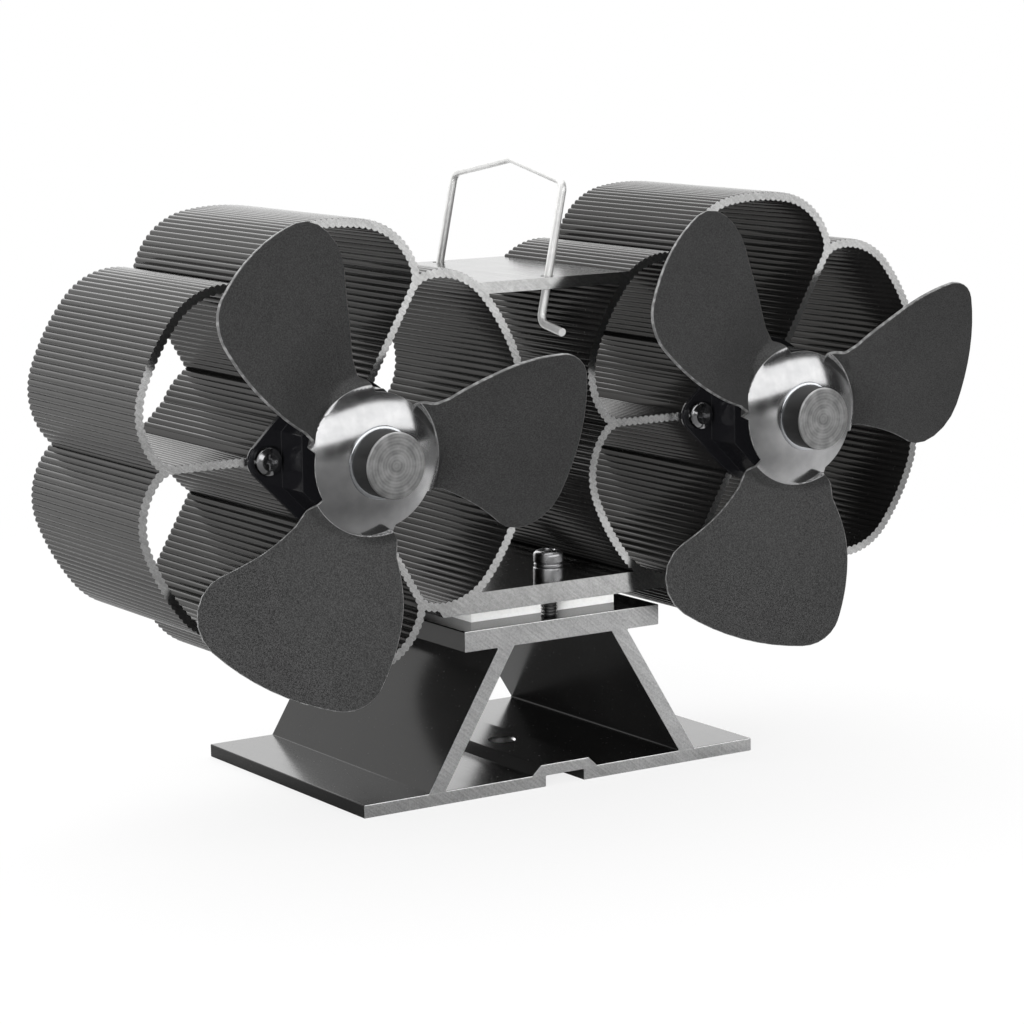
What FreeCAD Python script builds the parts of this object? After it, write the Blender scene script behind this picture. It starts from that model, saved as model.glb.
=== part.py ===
import FreeCAD, Part
import Sketcher
import math
import os
from FreeCAD import Placement, Rotation, Vector

# Twin heat-powered stove fan: an extruded stand, a heat-driven module, an extruded
# twin-flower heat sink, two small motors with three-blade rotors and a wire handle.
# Frame: X to the right, Y to the rear, Z up, origin under the middle of the stand.
doc = FreeCAD.newDocument("stove_fan")

# Driving sizes in millimetres and degrees
SIZES = [
    ("base_width", 108.8), ("base_depth", 72.6), ("foot_thick", 3.1), ("foot_lip", 17.1),
    ("leg_wall", 4.45), ("top_lip", 7.1), ("top_overhang", 9.1),
    ("base_top_under", 34.45), ("base_top_thick", 4.85), ("front_lip", 1.9),
    ("channel_top_half", 6.7), ("channel_slope", 2.4), ("channel_rise", 2.2), ("channel_wall", 2.7),
    ("groove_inset", 1.4), ("channel_hole_d", 5.9), ("channel_hole_y", -9.4), ("cut_past", 1.0),
    ("module_side", 40.0), ("module_thick", 3.45), ("ceramic_thick", 0.8), ("seal_width", 1.5),
    ("pellet_side", 2.2), ("pellet_margin", 2.0), ("pellet_rows", 8),
    ("axis_half", 58.1), ("petal_radius", 51.5), ("petal_corner", 16.7), ("valley_radius", 44.1),
    ("wall_thick", 2.2), ("spoke_thick", 2.0), ("junction_fillet", 5.0), ("tube_wall", 2.4),
    ("tube_gap", 2.6), ("port_wall", 1.5), ("port_out", 1.5), ("port_spare", 4.0),
    ("bridge_under", 1.41), ("bottom_bridge_thick", 4.7), ("bottom_bridge_lap", 6.6),
    ("bridge_toe_out", 2.1), ("bridge_toe_sink", 1.6),
    ("top_bridge_lift", 10.15), ("top_bridge_thick", 2.62),
    ("clamp_shank_d", 3.9), ("clamp_clear", 0.35), ("clamp_edge", 4.1), ("clamp_head_d", 7.0),
    ("clamp_head_high", 2.9), ("clamp_head_edge", 0.5), ("clamp_socket", 2.5), ("clamp_socket_deep", 1.6),
    ("clamp_hole_gap", 0.25), ("clamp_thread_gap", 0.05), ("clamp_short", 0.55),
    ("clamp_washer_d", 6.8), ("clamp_washer_thick", 1.0), ("clamp_washer_split", 0.5),
    ("clamp_bush_d", 7.1), ("clamp_bush_high", 3.1), ("clamp_bush_edge", 0.3),
    ("flange_thick", 1.2), ("flange_lap", 0.1), ("ear_radius", 4.2), ("ear_hole_gap", 0.25),
    ("cup_wall", 2.4), ("cup_ahead", 10.1), ("cup_front", 1.5), ("motor_gap", 0.1),
    ("fix_shank_d", 2.9), ("fix_head_d", 6.6), ("fix_head_high", 2.2), ("fix_head_flat", 4.0),
    ("fix_shoulder_d", 6.0), ("fix_shoulder_drop", 0.45), ("fix_crown_drop", 1.1), ("fix_long", 8.0),
    ("fix_point", 0.5), ("fix_gap", 0.05), ("cross_arm", 1.7), ("cross_slim", 0.43), ("cross_deep", 1.2),
    ("motor_radius", 12.2), ("motor_long", 16.0), ("can_wall", 0.8), ("nose_wall", 0.75),
    ("nose_ahead", 1.9), ("nose_gap", 0.4), ("cap_thick", 2.0), ("cap_boss", 1.2),
    ("cap_clear", 1.2), ("slip_gap", 0.05),
    ("bush_wall", 1.17), ("bush_long", 3.2), ("shaft_d", 2.0), ("shaft_behind", 0.4), ("running_gap", 0.03),
    ("magnet_thick", 3.15), ("magnet_over", 2.0), ("magnet_span", 140.0), ("air_gap", 0.8),
    ("core_space", 2.8), ("slot_radius", 1.6), ("slot_inset", 2.5),
    ("turn_inset", 1.0), ("turn_clear", 1.4), ("turn_thick", 1.2),
    ("comm_wall", 1.15), ("comm_long", 2.6), ("comm_gap", 0.4),
    ("brush_thick", 0.3), ("brush_wide", 2.0), ("brush_gap", 0.12), ("brush_inset", 0.4),
    ("tab_wide", 2.4), ("tab_thick", 0.4), ("tab_long", 3.6), ("tab_pitch", 7.0),
    ("hub_ahead", 17.9), ("hub_radius", 15.0), ("hub_hole", 3.5), ("hub_chord", 2.5), ("sheet_thick", 0.8),
    ("root_inset", 0.09), ("bend_run", 6.0), ("blade_pitch", 22.0),
    ("root_lead", 10.8), ("root_trail", 12.4), ("tip_gap", 3.7), ("lead_corner", 9.0), ("lead_aim", 7.6),
    ("trail_corner", 10.0), ("trail_aim", 24.4),
    ("lead_bow", 45.0), ("trail_bow", 80.0), ("left_fan_turn", 8.6), ("right_fan_turn", 20.1),
    ("boss_radius", 7.3), ("boss_ahead", 6.6), ("boss_edge", 0.5), ("boss_wall", 1.9),
    ("collar_radius", 5.0), ("collar_long", 2.5), ("shaft_end_gap", 0.1),
    ("wire_d", 1.9), ("handle_hole_gap", 1.2), ("handle_tilt", 12.0), ("handle_edge", 3.2),
    ("shoulder_high", 23.0), ("apex_rise", 4.4), ("foot_drop", 9.4), ("foot_out", 9.2), ("foot_fall", 1.5),
    ("handle_bend", 2.6), ("apex_bend", 5.0),
]
sheet = doc.addObject("Spreadsheet::Sheet", "Sizes")
for row, (alias, number) in enumerate(SIZES, 1):
    sheet.set("A%d" % row, alias)
    sheet.set("B%d" % row, str(number))
    sheet.setAlias("B%d" % row, alias)
doc.recompute()


# A size that knows its present value and the expression that binds it to the sheet
class Size:
    def __init__(self, value, text):
        self.value = float(value)
        self.text = text

    def __add__(self, other):
        other = lift(other)
        return Size(self.value + other.value, "(%s + %s)" % (self.text, other.text))

    def __sub__(self, other):
        other = lift(other)
        return Size(self.value - other.value, "(%s - %s)" % (self.text, other.text))

    def __mul__(self, other):
        other = lift(other)
        return Size(self.value * other.value, "(%s * %s)" % (self.text, other.text))

    def __truediv__(self, other):
        other = lift(other)
        return Size(self.value / other.value, "(%s / %s)" % (self.text, other.text))

    def __radd__(self, other):
        return lift(other) + self

    def __rsub__(self, other):
        return lift(other) - self

    def __rmul__(self, other):
        return lift(other) * self

    def __neg__(self):
        return Size(-self.value, "(0 - %s)" % self.text)


def lift(number):
    return number if isinstance(number, Size) else Size(number, "%.9g" % number)


class Names:
    pass


z = Names()
for alias, number in SIZES:
    setattr(z, alias, Size(sheet.get(alias), "Sizes." + alias))


def root(size):
    return Size(math.sqrt(size.value), "sqrt(%s)" % size.text)


def bind(thing, prop, size):
    thing.setExpression(prop, lift(size).text)


def place(thing, x=0, y=0, up=0):
    for axis, size in (("x", x), ("y", y), ("z", up)):
        bind(thing, "Placement.Base." + axis, size)


def new_body(label):
    body = doc.addObject("PartDesign::Body", label)
    body.Label = label
    return body


def role(body, name):
    for feature in body.Origin.OriginFeatures:
        if feature.Role == name:
            return feature
    raise ValueError(name)


def new_sketch(body, name, plane, lift_off=None, spin=None, spin_axis=(0, 0, 1)):
    sketch = body.newObject("Sketcher::SketchObject", name)
    sketch.AttachmentSupport = [(role(body, plane), "")]
    sketch.MapMode = "FlatFace"
    if spin is not None:
        sketch.AttachmentOffset = Placement(Vector(), Rotation(Vector(*spin_axis), spin.value))
        bind(sketch, "AttachmentOffset.Rotation.Angle", spin)
    if lift_off is not None:
        bind(sketch, "AttachmentOffset.Base.z", lift_off)
    return sketch


def pin(sketch, geo, point, u, v):
    for kind, axis, size in (("DistanceX", -2, lift(u)), ("DistanceY", -1, lift(v))):
        if abs(size.value) < 1e-9:
            sketch.addConstraint(Sketcher.Constraint("PointOnObject", geo, point, axis))
            continue
        index = sketch.addConstraint(Sketcher.Constraint(kind, -1, 1, geo, point, size.value))
        bind(sketch, "Constraints[%d]" % index, size)


def draw_loop(sketch, points):
    start = len(sketch.Geometry)
    count = len(points)
    flat = [Vector(lift(u).value, lift(v).value, 0) for u, v in points]
    for i in range(count):
        sketch.addGeometry(Part.LineSegment(flat[i], flat[(i + 1) % count]), False)
    for i in range(count):
        after = start + (i + 1) % count
        sketch.addConstraint(Sketcher.Constraint("Coincident", start + i, 2, after, 1))
    for i, (u, v) in enumerate(points):
        pin(sketch, start + i, 1, u, v)


def draw_circle(sketch, u, v, radius):
    where = Vector(lift(u).value, lift(v).value, 0)
    geo = sketch.addGeometry(Part.Circle(where, Vector(0, 0, 1), lift(radius).value), False)
    if abs(lift(u).value) < 1e-9 and abs(lift(v).value) < 1e-9:
        sketch.addConstraint(Sketcher.Constraint("Coincident", geo, 3, -1, 1))
    else:
        pin(sketch, geo, 3, u, v)
    index = sketch.addConstraint(Sketcher.Constraint("Radius", geo, lift(radius).value))
    bind(sketch, "Constraints[%d]" % index, radius)
    return geo


def arc(centre, radius, start, end):
    ring = Part.Circle(Vector(centre[0], centre[1], 0), Vector(0, 0, 1), radius)
    return Part.ArcOfCircle(ring, math.radians(start), math.radians(end))


def hold(sketch, *parts):
    size = parts[-1] if isinstance(parts[-1], Size) else None
    if size is None:
        sketch.addConstraint(Sketcher.Constraint(*parts))
        return
    index = sketch.addConstraint(Sketcher.Constraint(*parts[:-1], size.value))
    bind(sketch, "Constraints[%d]" % index, size)


def extrude(body, kind, name, sketch, length=None, back=False, middle=False):
    feature = body.newObject("PartDesign::" + kind, name)
    feature.Profile = sketch
    if length is None:
        feature.Type = "ThroughAll"
    else:
        feature.Type = "Length"
        bind(feature, "Length", length)
    feature.Reversed = back
    if middle:
        feature.SideType = "Symmetric"
    sketch.Visibility = False
    return feature


def pattern(body, name, features, sketch_or_axis, sub, count):
    turn = body.newObject("PartDesign::PolarPattern", name)
    turn.Originals = features
    turn.Axis = (sketch_or_axis, [sub])
    turn.Angle = 360
    turn.Occurrences = count
    body.Tip = turn
    return turn


def revolve(label, profile, plane="XY_Plane", span=None):
    body = new_body(label)
    sketch = new_sketch(body, label + "_profile", plane)
    draw_loop(sketch, profile)
    turned = body.newObject("PartDesign::Revolution", label + "_turned")
    turned.Profile = sketch
    turned.ReferenceAxis = (sketch, ["V_Axis"])
    turned.Angle = 360
    if span is not None:
        bind(turned, "Angle", span)
        turned.Midplane = True
    sketch.Visibility = False
    return body


def mirrored(label, source, normal, y=None):
    twin = doc.addObject("Part::Mirroring", label)
    twin.Source = source
    twin.Normal = Vector(*normal)
    if y is not None:
        bind(twin, "Base.y", y)
    return twin


def group(label, members):
    node = doc.addObject("Part::Compound", label)
    node.Links = members
    node.Label = label
    return node


def box(label, wide, deep, high, x, y, up):
    block = doc.addObject("Part::Box", label)
    bind(block, "Length", wide)
    bind(block, "Width", deep)
    bind(block, "Height", high)
    place(block, x, y, up)
    return block


nodes = []

# Stand: one extruded length with a flat foot, a raised channel, two sloping legs and a thick top
stand = new_body("base_stand")
section = new_sketch(stand, "stand_section", "XZ_Plane")
module_half = z.module_side / 2
half_foot = z.base_width / 2
half_top = module_half + z.top_lip
leg_low = half_foot - z.foot_lip
leg_high = half_top - z.top_overhang
inside_low = leg_low - z.leg_wall
inside_high = leg_high - z.leg_wall
stand_top = z.base_top_under + z.base_top_thick
channel_top = z.foot_thick + z.channel_rise
channel_foot = z.channel_top_half + z.channel_slope
groove_half = z.channel_top_half - z.groove_inset
groove_deep = channel_top - z.channel_wall
draw_loop(section, [
    (-half_foot, 0), (-groove_half, 0), (-groove_half, groove_deep), (groove_half, groove_deep),
    (groove_half, 0), (half_foot, 0), (half_foot, z.foot_thick), (leg_low, z.foot_thick),
    (leg_high, z.base_top_under), (half_top, z.base_top_under), (half_top, stand_top),
    (-half_top, stand_top), (-half_top, z.base_top_under), (-leg_high, z.base_top_under),
    (-leg_low, z.foot_thick), (-half_foot, z.foot_thick)])
draw_loop(section, [
    (-inside_low, z.foot_thick), (-channel_foot, z.foot_thick), (-z.channel_top_half, channel_top),
    (z.channel_top_half, channel_top), (channel_foot, z.foot_thick), (inside_low, z.foot_thick),
    (inside_high, z.base_top_under), (-inside_high, z.base_top_under)])
extrude(stand, "Pad", "stand_length", section, z.base_depth, middle=True)
opening = new_sketch(stand, "channel_hole", "XY_Plane", lift_off=channel_top)
draw_circle(opening, 0, z.channel_hole_y, z.channel_hole_d / 2)
extrude(stand, "Pocket", "channel_hole_cut", opening, z.channel_wall + z.cut_past)
clamp_radius = z.clamp_shank_d / 2
clamp_pitch = module_half + z.clamp_clear + clamp_radius
sink_half = clamp_pitch + z.clamp_edge
sink_depth = sink_half * 2
sink_front = z.front_lip - z.base_depth / 2
sink_mid = sink_front + sink_half
clamp_front = sink_mid - clamp_pitch
clamp_rear = sink_mid + clamp_pitch
tapped = new_sketch(stand, "stand_tapped_holes", "XY_Plane", lift_off=stand_top)
for where in (clamp_front, clamp_rear):
    draw_circle(tapped, 0, where, clamp_radius + z.clamp_thread_gap)
extrude(stand, "Pocket", "stand_tapped_cut", tapped, z.base_top_thick + z.cut_past)
nodes.append(stand)

# Heat-driven module: two ceramic plates, the pellets between them and a white edge seal
module_front = sink_mid - module_half
hot = box("module_hot_plate", z.module_side, z.module_side, z.ceramic_thick, -module_half, module_front,
          stand_top)
sink_under = stand_top + z.module_thick
cold = box("module_cold_plate", z.module_side, z.module_side, z.ceramic_thick, -module_half, module_front,
           sink_under - z.ceramic_thick)
core_high = z.module_thick - z.ceramic_thick * 2
seal_floor = stand_top + z.ceramic_thick
seal_out = box("seal_outer", z.module_side, z.module_side, core_high, -module_half, module_front,
               seal_floor)
seal_space = z.module_side - z.seal_width * 2
seal_in = box("seal_inner", seal_space, seal_space, core_high, z.seal_width - module_half,
              module_front + z.seal_width, seal_floor)
seal = doc.addObject("Part::Cut", "module_edge_seal")
seal.Base = seal_out
seal.Tool = seal_in
pellets = doc.addObject("Part::Feature", "module_pellets")
rows = int(z.pellet_rows.value)
grid_start = -seal_space.value / 2 + z.pellet_margin.value
grid_step = (-2 * grid_start - z.pellet_side.value) / (rows - 1)
blocks = []
for i in range(rows):
    for j in range(rows):
        corner = Vector(grid_start + i * grid_step, grid_start + j * grid_step, 0)
        blocks.append(Part.makeBox(z.pellet_side.value, z.pellet_side.value, core_high.value, corner))
pellets.Shape = Part.makeCompound(blocks)
place(pellets, 0, sink_mid, seal_floor)
nodes += [hot, cold, seal, pellets]

# Heat sink: two six-petal flowers with a ring for the motor, joined by two bridges, one extrusion
reach = z.petal_radius - z.petal_corner
turn_cos = (reach * reach + z.valley_radius * z.valley_radius - z.petal_corner * z.petal_corner) / (
    2 * reach * z.valley_radius)
turn = math.degrees(math.acos(turn_cos.value))
corner_x = Size(reach.value * math.cos(math.radians(60 + turn)),
                "(%s * cos(60 deg + acos(%s)))" % (reach.text, turn_cos.text))
corner_y = Size(reach.value * math.sin(math.radians(60 + turn)),
                "(%s * sin(60 deg + acos(%s)))" % (reach.text, turn_cos.text))
corner_out = Size(reach.value * math.cos(math.radians(60 - turn)),
                  "(%s * cos(60 deg - acos(%s)))" % (reach.text, turn_cos.text))
corner_drop = Size(reach.value * math.sin(math.radians(60 - turn)),
                   "(%s * sin(60 deg - acos(%s)))" % (reach.text, turn_cos.text))
axis_high = sink_under + z.bridge_under + z.petal_corner + corner_drop
flower = new_body("left_flower")
place(flower, -z.axis_half, sink_front, axis_high)

lobe = new_sketch(flower, "petal_outline", "XZ_Plane")
deep = z.valley_radius.value
valley = (deep * math.cos(math.radians(60)), deep * math.sin(math.radians(60)))
centre = (corner_x.value, corner_y.value)
begin = math.degrees(math.atan2(valley[1] - centre[1], valley[0] - centre[0]))
origin = Vector()
lobe.addGeometry(Part.LineSegment(origin, Vector(valley[0], valley[1], 0)), False)
lobe.addGeometry(arc(centre, z.petal_corner.value, begin, 60 + turn), False)
lobe.addGeometry(arc((0, 0), z.petal_radius.value, 60 + turn, 120 - turn), False)
lobe.addGeometry(arc((-centre[0], centre[1]), z.petal_corner.value, 120 - turn, 180 - begin), False)
lobe.addGeometry(Part.LineSegment(Vector(-valley[0], valley[1], 0), origin), False)
hold(lobe, "Coincident", 0, 1, -1, 1)
hold(lobe, "Coincident", 0, 2, 1, 1)
hold(lobe, "Tangent", 1, 2, 2, 1)
hold(lobe, "Tangent", 2, 2, 3, 1)
hold(lobe, "Coincident", 3, 2, 4, 1)
hold(lobe, "Coincident", 4, 2, -1, 1)
hold(lobe, "Coincident", 2, 3, -1, 1)
hold(lobe, "Angle", 0, math.radians(60))
hold(lobe, "Symmetric", 0, 2, 3, 2, -2)
hold(lobe, "Equal", 1, 3)
hold(lobe, "Radius", 2, z.petal_radius)
hold(lobe, "Radius", 1, z.petal_corner)
hold(lobe, "Distance", 0, z.valley_radius)
petal = extrude(flower, "Pad", "petal_solid", lobe, sink_depth, back=True)
pattern(flower, "petal_ring", [petal], lobe, "N_Axis", 6)

cell = new_sketch(flower, "petal_cell", "XZ_Plane")
half_spoke = z.spoke_thick / 2
inner_corner = z.petal_corner - z.wall_thick
inner_radius = z.petal_radius - z.wall_thick
tube_bore = z.motor_radius + z.tube_gap
tube_radius = tube_bore + z.tube_wall
fillet = z.junction_fillet.value
along = reach.value * math.cos(math.radians(turn))
across = reach.value * math.sin(math.radians(turn))
offset = half_spoke.value + fillet
run = along + math.sqrt((inner_corner.value - fillet) ** 2 - (offset - across) ** 2)
tilt = math.degrees(math.atan2(offset - across, run - along))
ux, uy = math.cos(math.radians(60)), math.sin(math.radians(60))


def spoke_point(s, n):
    return (s * ux - n * uy, s * uy + n * ux)


near = math.sqrt(tube_radius.value ** 2 - half_spoke.value ** 2)
p_in = spoke_point(near, half_spoke.value)
p_out = spoke_point(run, half_spoke.value)
f_mid = spoke_point(run, offset)
edge = math.degrees(math.atan2(p_in[1], p_in[0]))
cell.addGeometry(Part.LineSegment(Vector(p_in[0], p_in[1], 0), Vector(p_out[0], p_out[1], 0)), False)
cell.addGeometry(arc(f_mid, fillet, -30, 60 + tilt), False)
cell.addGeometry(arc(centre, inner_corner.value, 60 + tilt, 60 + turn), False)
cell.addGeometry(arc((0, 0), inner_radius.value, 60 + turn, 120 - turn), False)
cell.addGeometry(arc((-centre[0], centre[1]), inner_corner.value, 120 - turn, 120 - tilt), False)
cell.addGeometry(arc((-f_mid[0], f_mid[1]), fillet, 120 - tilt, 210), False)
cell.addGeometry(Part.LineSegment(Vector(-p_out[0], p_out[1], 0), Vector(-p_in[0], p_in[1], 0)), False)
cell.addGeometry(arc((0, 0), tube_radius.value, edge, 180 - edge), False)
for geo in range(6):
    hold(cell, "Tangent", geo, 2, geo + 1, 1)
hold(cell, "Coincident", 6, 2, 7, 2)
hold(cell, "Coincident", 7, 1, 0, 1)
hold(cell, "Coincident", 3, 3, -1, 1)
hold(cell, "Coincident", 7, 3, -1, 1)
hold(cell, "Symmetric", 2, 3, 4, 3, -2)
hold(cell, "Equal", 1, 5)
hold(cell, "Angle", 0, math.radians(60))
hold(cell, "Angle", 6, math.radians(-60))
hold(cell, "Radius", 7, tube_radius)
hold(cell, "Radius", 3, inner_radius)
hold(cell, "Radius", 1, z.junction_fillet)
hold(cell, "DistanceX", -1, 1, 2, 3, corner_x)
hold(cell, "Distance", -1, 1, 0, half_spoke)
hold(cell, "Distance", -1, 1, 6, half_spoke)
hollow = extrude(flower, "Pocket", "petal_hollow", cell)
hollow.SideType = "Symmetric"
pattern(flower, "petal_hollows", [hollow], cell, "N_Axis", 6)

bore = new_sketch(flower, "motor_bore", "XZ_Plane")
draw_circle(bore, 0, 0, tube_bore)
bored = extrude(flower, "Pocket", "motor_bored", bore)
bored.SideType = "Symmetric"
fix_radius = z.fix_shank_d / 2
port_bore = fix_radius + z.fix_gap
port_pitch = tube_radius + z.port_out
port_radius = port_bore + z.port_wall
flank_sum = port_pitch + port_radius * math.sqrt(2)
flank_in = (flank_sum - root(tube_radius * tube_radius * 2 - flank_sum * flank_sum)) / 2
flank_out = port_radius / math.sqrt(2)
ports = new_sketch(flower, "screw_ports", "XZ_Plane")
flanks = new_sketch(flower, "screw_port_flanks", "XZ_Plane")
drilled = new_sketch(flower, "screw_port_holes", "XZ_Plane")
for sign in (-1, 1):
    draw_circle(ports, sign * port_pitch, 0, port_radius)
    draw_circle(drilled, sign * port_pitch, 0, port_bore)
    flank_near = sign * (flank_sum - flank_in)
    flank_far = sign * (flank_sum - flank_out)
    draw_loop(flanks, [
        (flank_near, -flank_in), (flank_far, -flank_out), (flank_far, flank_out), (flank_near, flank_in)])
extrude(flower, "Pad", "screw_port_rods", ports, sink_depth, back=True)
extrude(flower, "Pad", "screw_port_sides", flanks, sink_depth, back=True)
extrude(flower, "Pocket", "screw_port_drilled", drilled, z.fix_long + z.port_spare)
right_flower = mirrored("right_flower", flower, (1, 0, 0))

petal_near = z.axis_half - corner_out
low_half = petal_near - z.bottom_bridge_lap
low_bridge = box("bottom_bridge", low_half * 2, sink_depth, z.bottom_bridge_thick,
                 -low_half, sink_front, sink_under)
low_toe = new_body("bottom_bridge_toe")
place(low_toe, 0, sink_front, sink_under)
toe = new_sketch(low_toe, "bottom_bridge_toe_section", "XZ_Plane")
toe_thick = z.bridge_under + z.bridge_toe_sink
toe_half = petal_near + z.bridge_toe_out
draw_loop(toe, [(-petal_near, 0), (petal_near, 0), (toe_half, toe_thick), (-toe_half, toe_thick)])
extrude(low_toe, "Pad", "bottom_bridge_toe_length", toe, sink_depth, back=True)
wall_mid = z.petal_corner - z.wall_thick / 2
top_lift = z.top_bridge_lift + z.top_bridge_thick
under_half = petal_near - root(wall_mid * wall_mid - z.top_bridge_lift * z.top_bridge_lift)
over_half = petal_near - root(wall_mid * wall_mid - top_lift * top_lift)
bridge_under = axis_high + corner_drop + z.top_bridge_lift
high_bridge = new_body("top_bridge")
place(high_bridge, 0, sink_front, bridge_under)
strip = new_sketch(high_bridge, "top_bridge_section", "XZ_Plane")
draw_loop(strip, [
    (-under_half, 0), (under_half, 0), (over_half, z.top_bridge_thick), (-over_half, z.top_bridge_thick)])
extrude(high_bridge, "Pad", "top_bridge_length", strip, sink_depth, back=True)
joined = doc.addObject("Part::MultiFuse", "sink_joined")
joined.Shapes = [flower, right_flower, low_bridge, low_toe, high_bridge]
joined.Refine = True
drills = []
for name, where in (("front", clamp_front), ("rear", clamp_rear)):
    drill = doc.addObject("Part::Cylinder", "clamp_drill_" + name)
    bind(drill, "Radius", clamp_radius + z.clamp_hole_gap)
    bind(drill, "Height", z.bottom_bridge_thick + z.cut_past * 2)
    place(drill, 0, where, sink_under - z.cut_past)
    drills.append(drill)
handle_half = sink_half - z.handle_edge
for name, where in (("front", sink_mid - handle_half), ("rear", sink_mid + handle_half)):
    drill = doc.addObject("Part::Cylinder", "handle_drill_" + name)
    bind(drill, "Radius", (z.wire_d + z.handle_hole_gap) / 2)
    bind(drill, "Height", z.top_bridge_thick + z.cut_past * 2)
    place(drill, 0, where, bridge_under - z.cut_past)
    drills.append(drill)
sink_drills = group("sink_drills", drills)
sink = doc.addObject("Part::Cut", "heat_sink")
sink.Base = joined
sink.Tool = sink_drills
sink.Label = "heat_sink"
nodes.append(sink)

# Clamp hardware: front and rear socket screws with a spring washer and a bush under each head
bridge_top = sink_under + z.bottom_bridge_thick
washer_floor = bridge_top + z.clamp_bush_high
head_floor = washer_floor + z.clamp_washer_thick
head_radius = z.clamp_head_d / 2
shank_end = z.base_top_under + z.clamp_short - head_floor
screw = revolve("clamp_screw_front", [
    (0, shank_end), (clamp_radius, shank_end), (clamp_radius, 0), (head_radius, 0),
    (head_radius, z.clamp_head_high - z.clamp_head_edge),
    (head_radius - z.clamp_head_edge, z.clamp_head_high), (0, z.clamp_head_high)], plane="XZ_Plane")
place(screw, 0, clamp_front, head_floor)
socket = new_sketch(screw, "clamp_socket_outline", "XY_Plane", lift_off=z.clamp_head_high)
corner = z.clamp_socket / math.sqrt(3)
draw_loop(socket, [
    (corner, 0), (corner / 2, z.clamp_socket / 2), (-corner / 2, z.clamp_socket / 2),
    (-corner, 0), (-corner / 2, -z.clamp_socket / 2), (corner / 2, -z.clamp_socket / 2)])
extrude(screw, "Pocket", "clamp_socket_cut", socket, z.clamp_socket_deep)
screw_twin = mirrored("clamp_screw_rear", screw, (0, 1, 0), sink_mid)
nodes.append(group("clamp_screws", [screw, screw_twin]))

washer = new_body("clamp_washer_front")
place(washer, 0, clamp_front, washer_floor)
ring = new_sketch(washer, "clamp_washer_ring", "XY_Plane")
draw_circle(ring, 0, 0, z.clamp_washer_d / 2)
draw_circle(ring, 0, 0, clamp_radius + z.clamp_hole_gap)
extrude(washer, "Pad", "clamp_washer_solid", ring, z.clamp_washer_thick)
split = new_sketch(washer, "clamp_washer_split", "XY_Plane", lift_off=z.clamp_washer_thick)
half_split = z.clamp_washer_split / 2
draw_loop(split, [
    (0, -half_split), (z.clamp_washer_d, -half_split), (z.clamp_washer_d, half_split), (0, half_split)])
extrude(washer, "Pocket", "clamp_washer_gap", split, z.clamp_washer_thick)
washer_twin = mirrored("clamp_washer_rear", washer, (0, 1, 0), sink_mid)
nodes.append(group("clamp_spring_washers", [washer, washer_twin]))

bush_radius = z.clamp_bush_d / 2
bush = revolve("clamp_bush_front", [
    (clamp_radius + z.clamp_hole_gap, 0), (bush_radius, 0),
    (bush_radius, z.clamp_bush_high - z.clamp_bush_edge),
    (bush_radius - z.clamp_bush_edge, z.clamp_bush_high),
    (clamp_radius + z.clamp_hole_gap, z.clamp_bush_high)], plane="XZ_Plane")
place(bush, 0, clamp_front, bridge_top)
bush_twin = mirrored("clamp_bush_rear", bush, (0, 1, 0), sink_mid)
nodes.append(group("clamp_bushes", [bush, bush_twin]))

# Fits shared by the holders, the motors and the rotors
shaft_radius = z.shaft_d / 2
running = shaft_radius + z.running_gap
motor_bush_radius = running + z.bush_wall
bush_fit = motor_bush_radius + z.slip_gap
nose_radius = bush_fit + z.nose_wall
half_sheet = z.sheet_thick / 2
boss_bore = half_sheet + z.boss_ahead - z.boss_wall
bend_in = z.hub_radius - z.hub_chord
bend_out = bend_in + z.bend_run
tip_radius = z.axis_half - z.tip_gap


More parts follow.
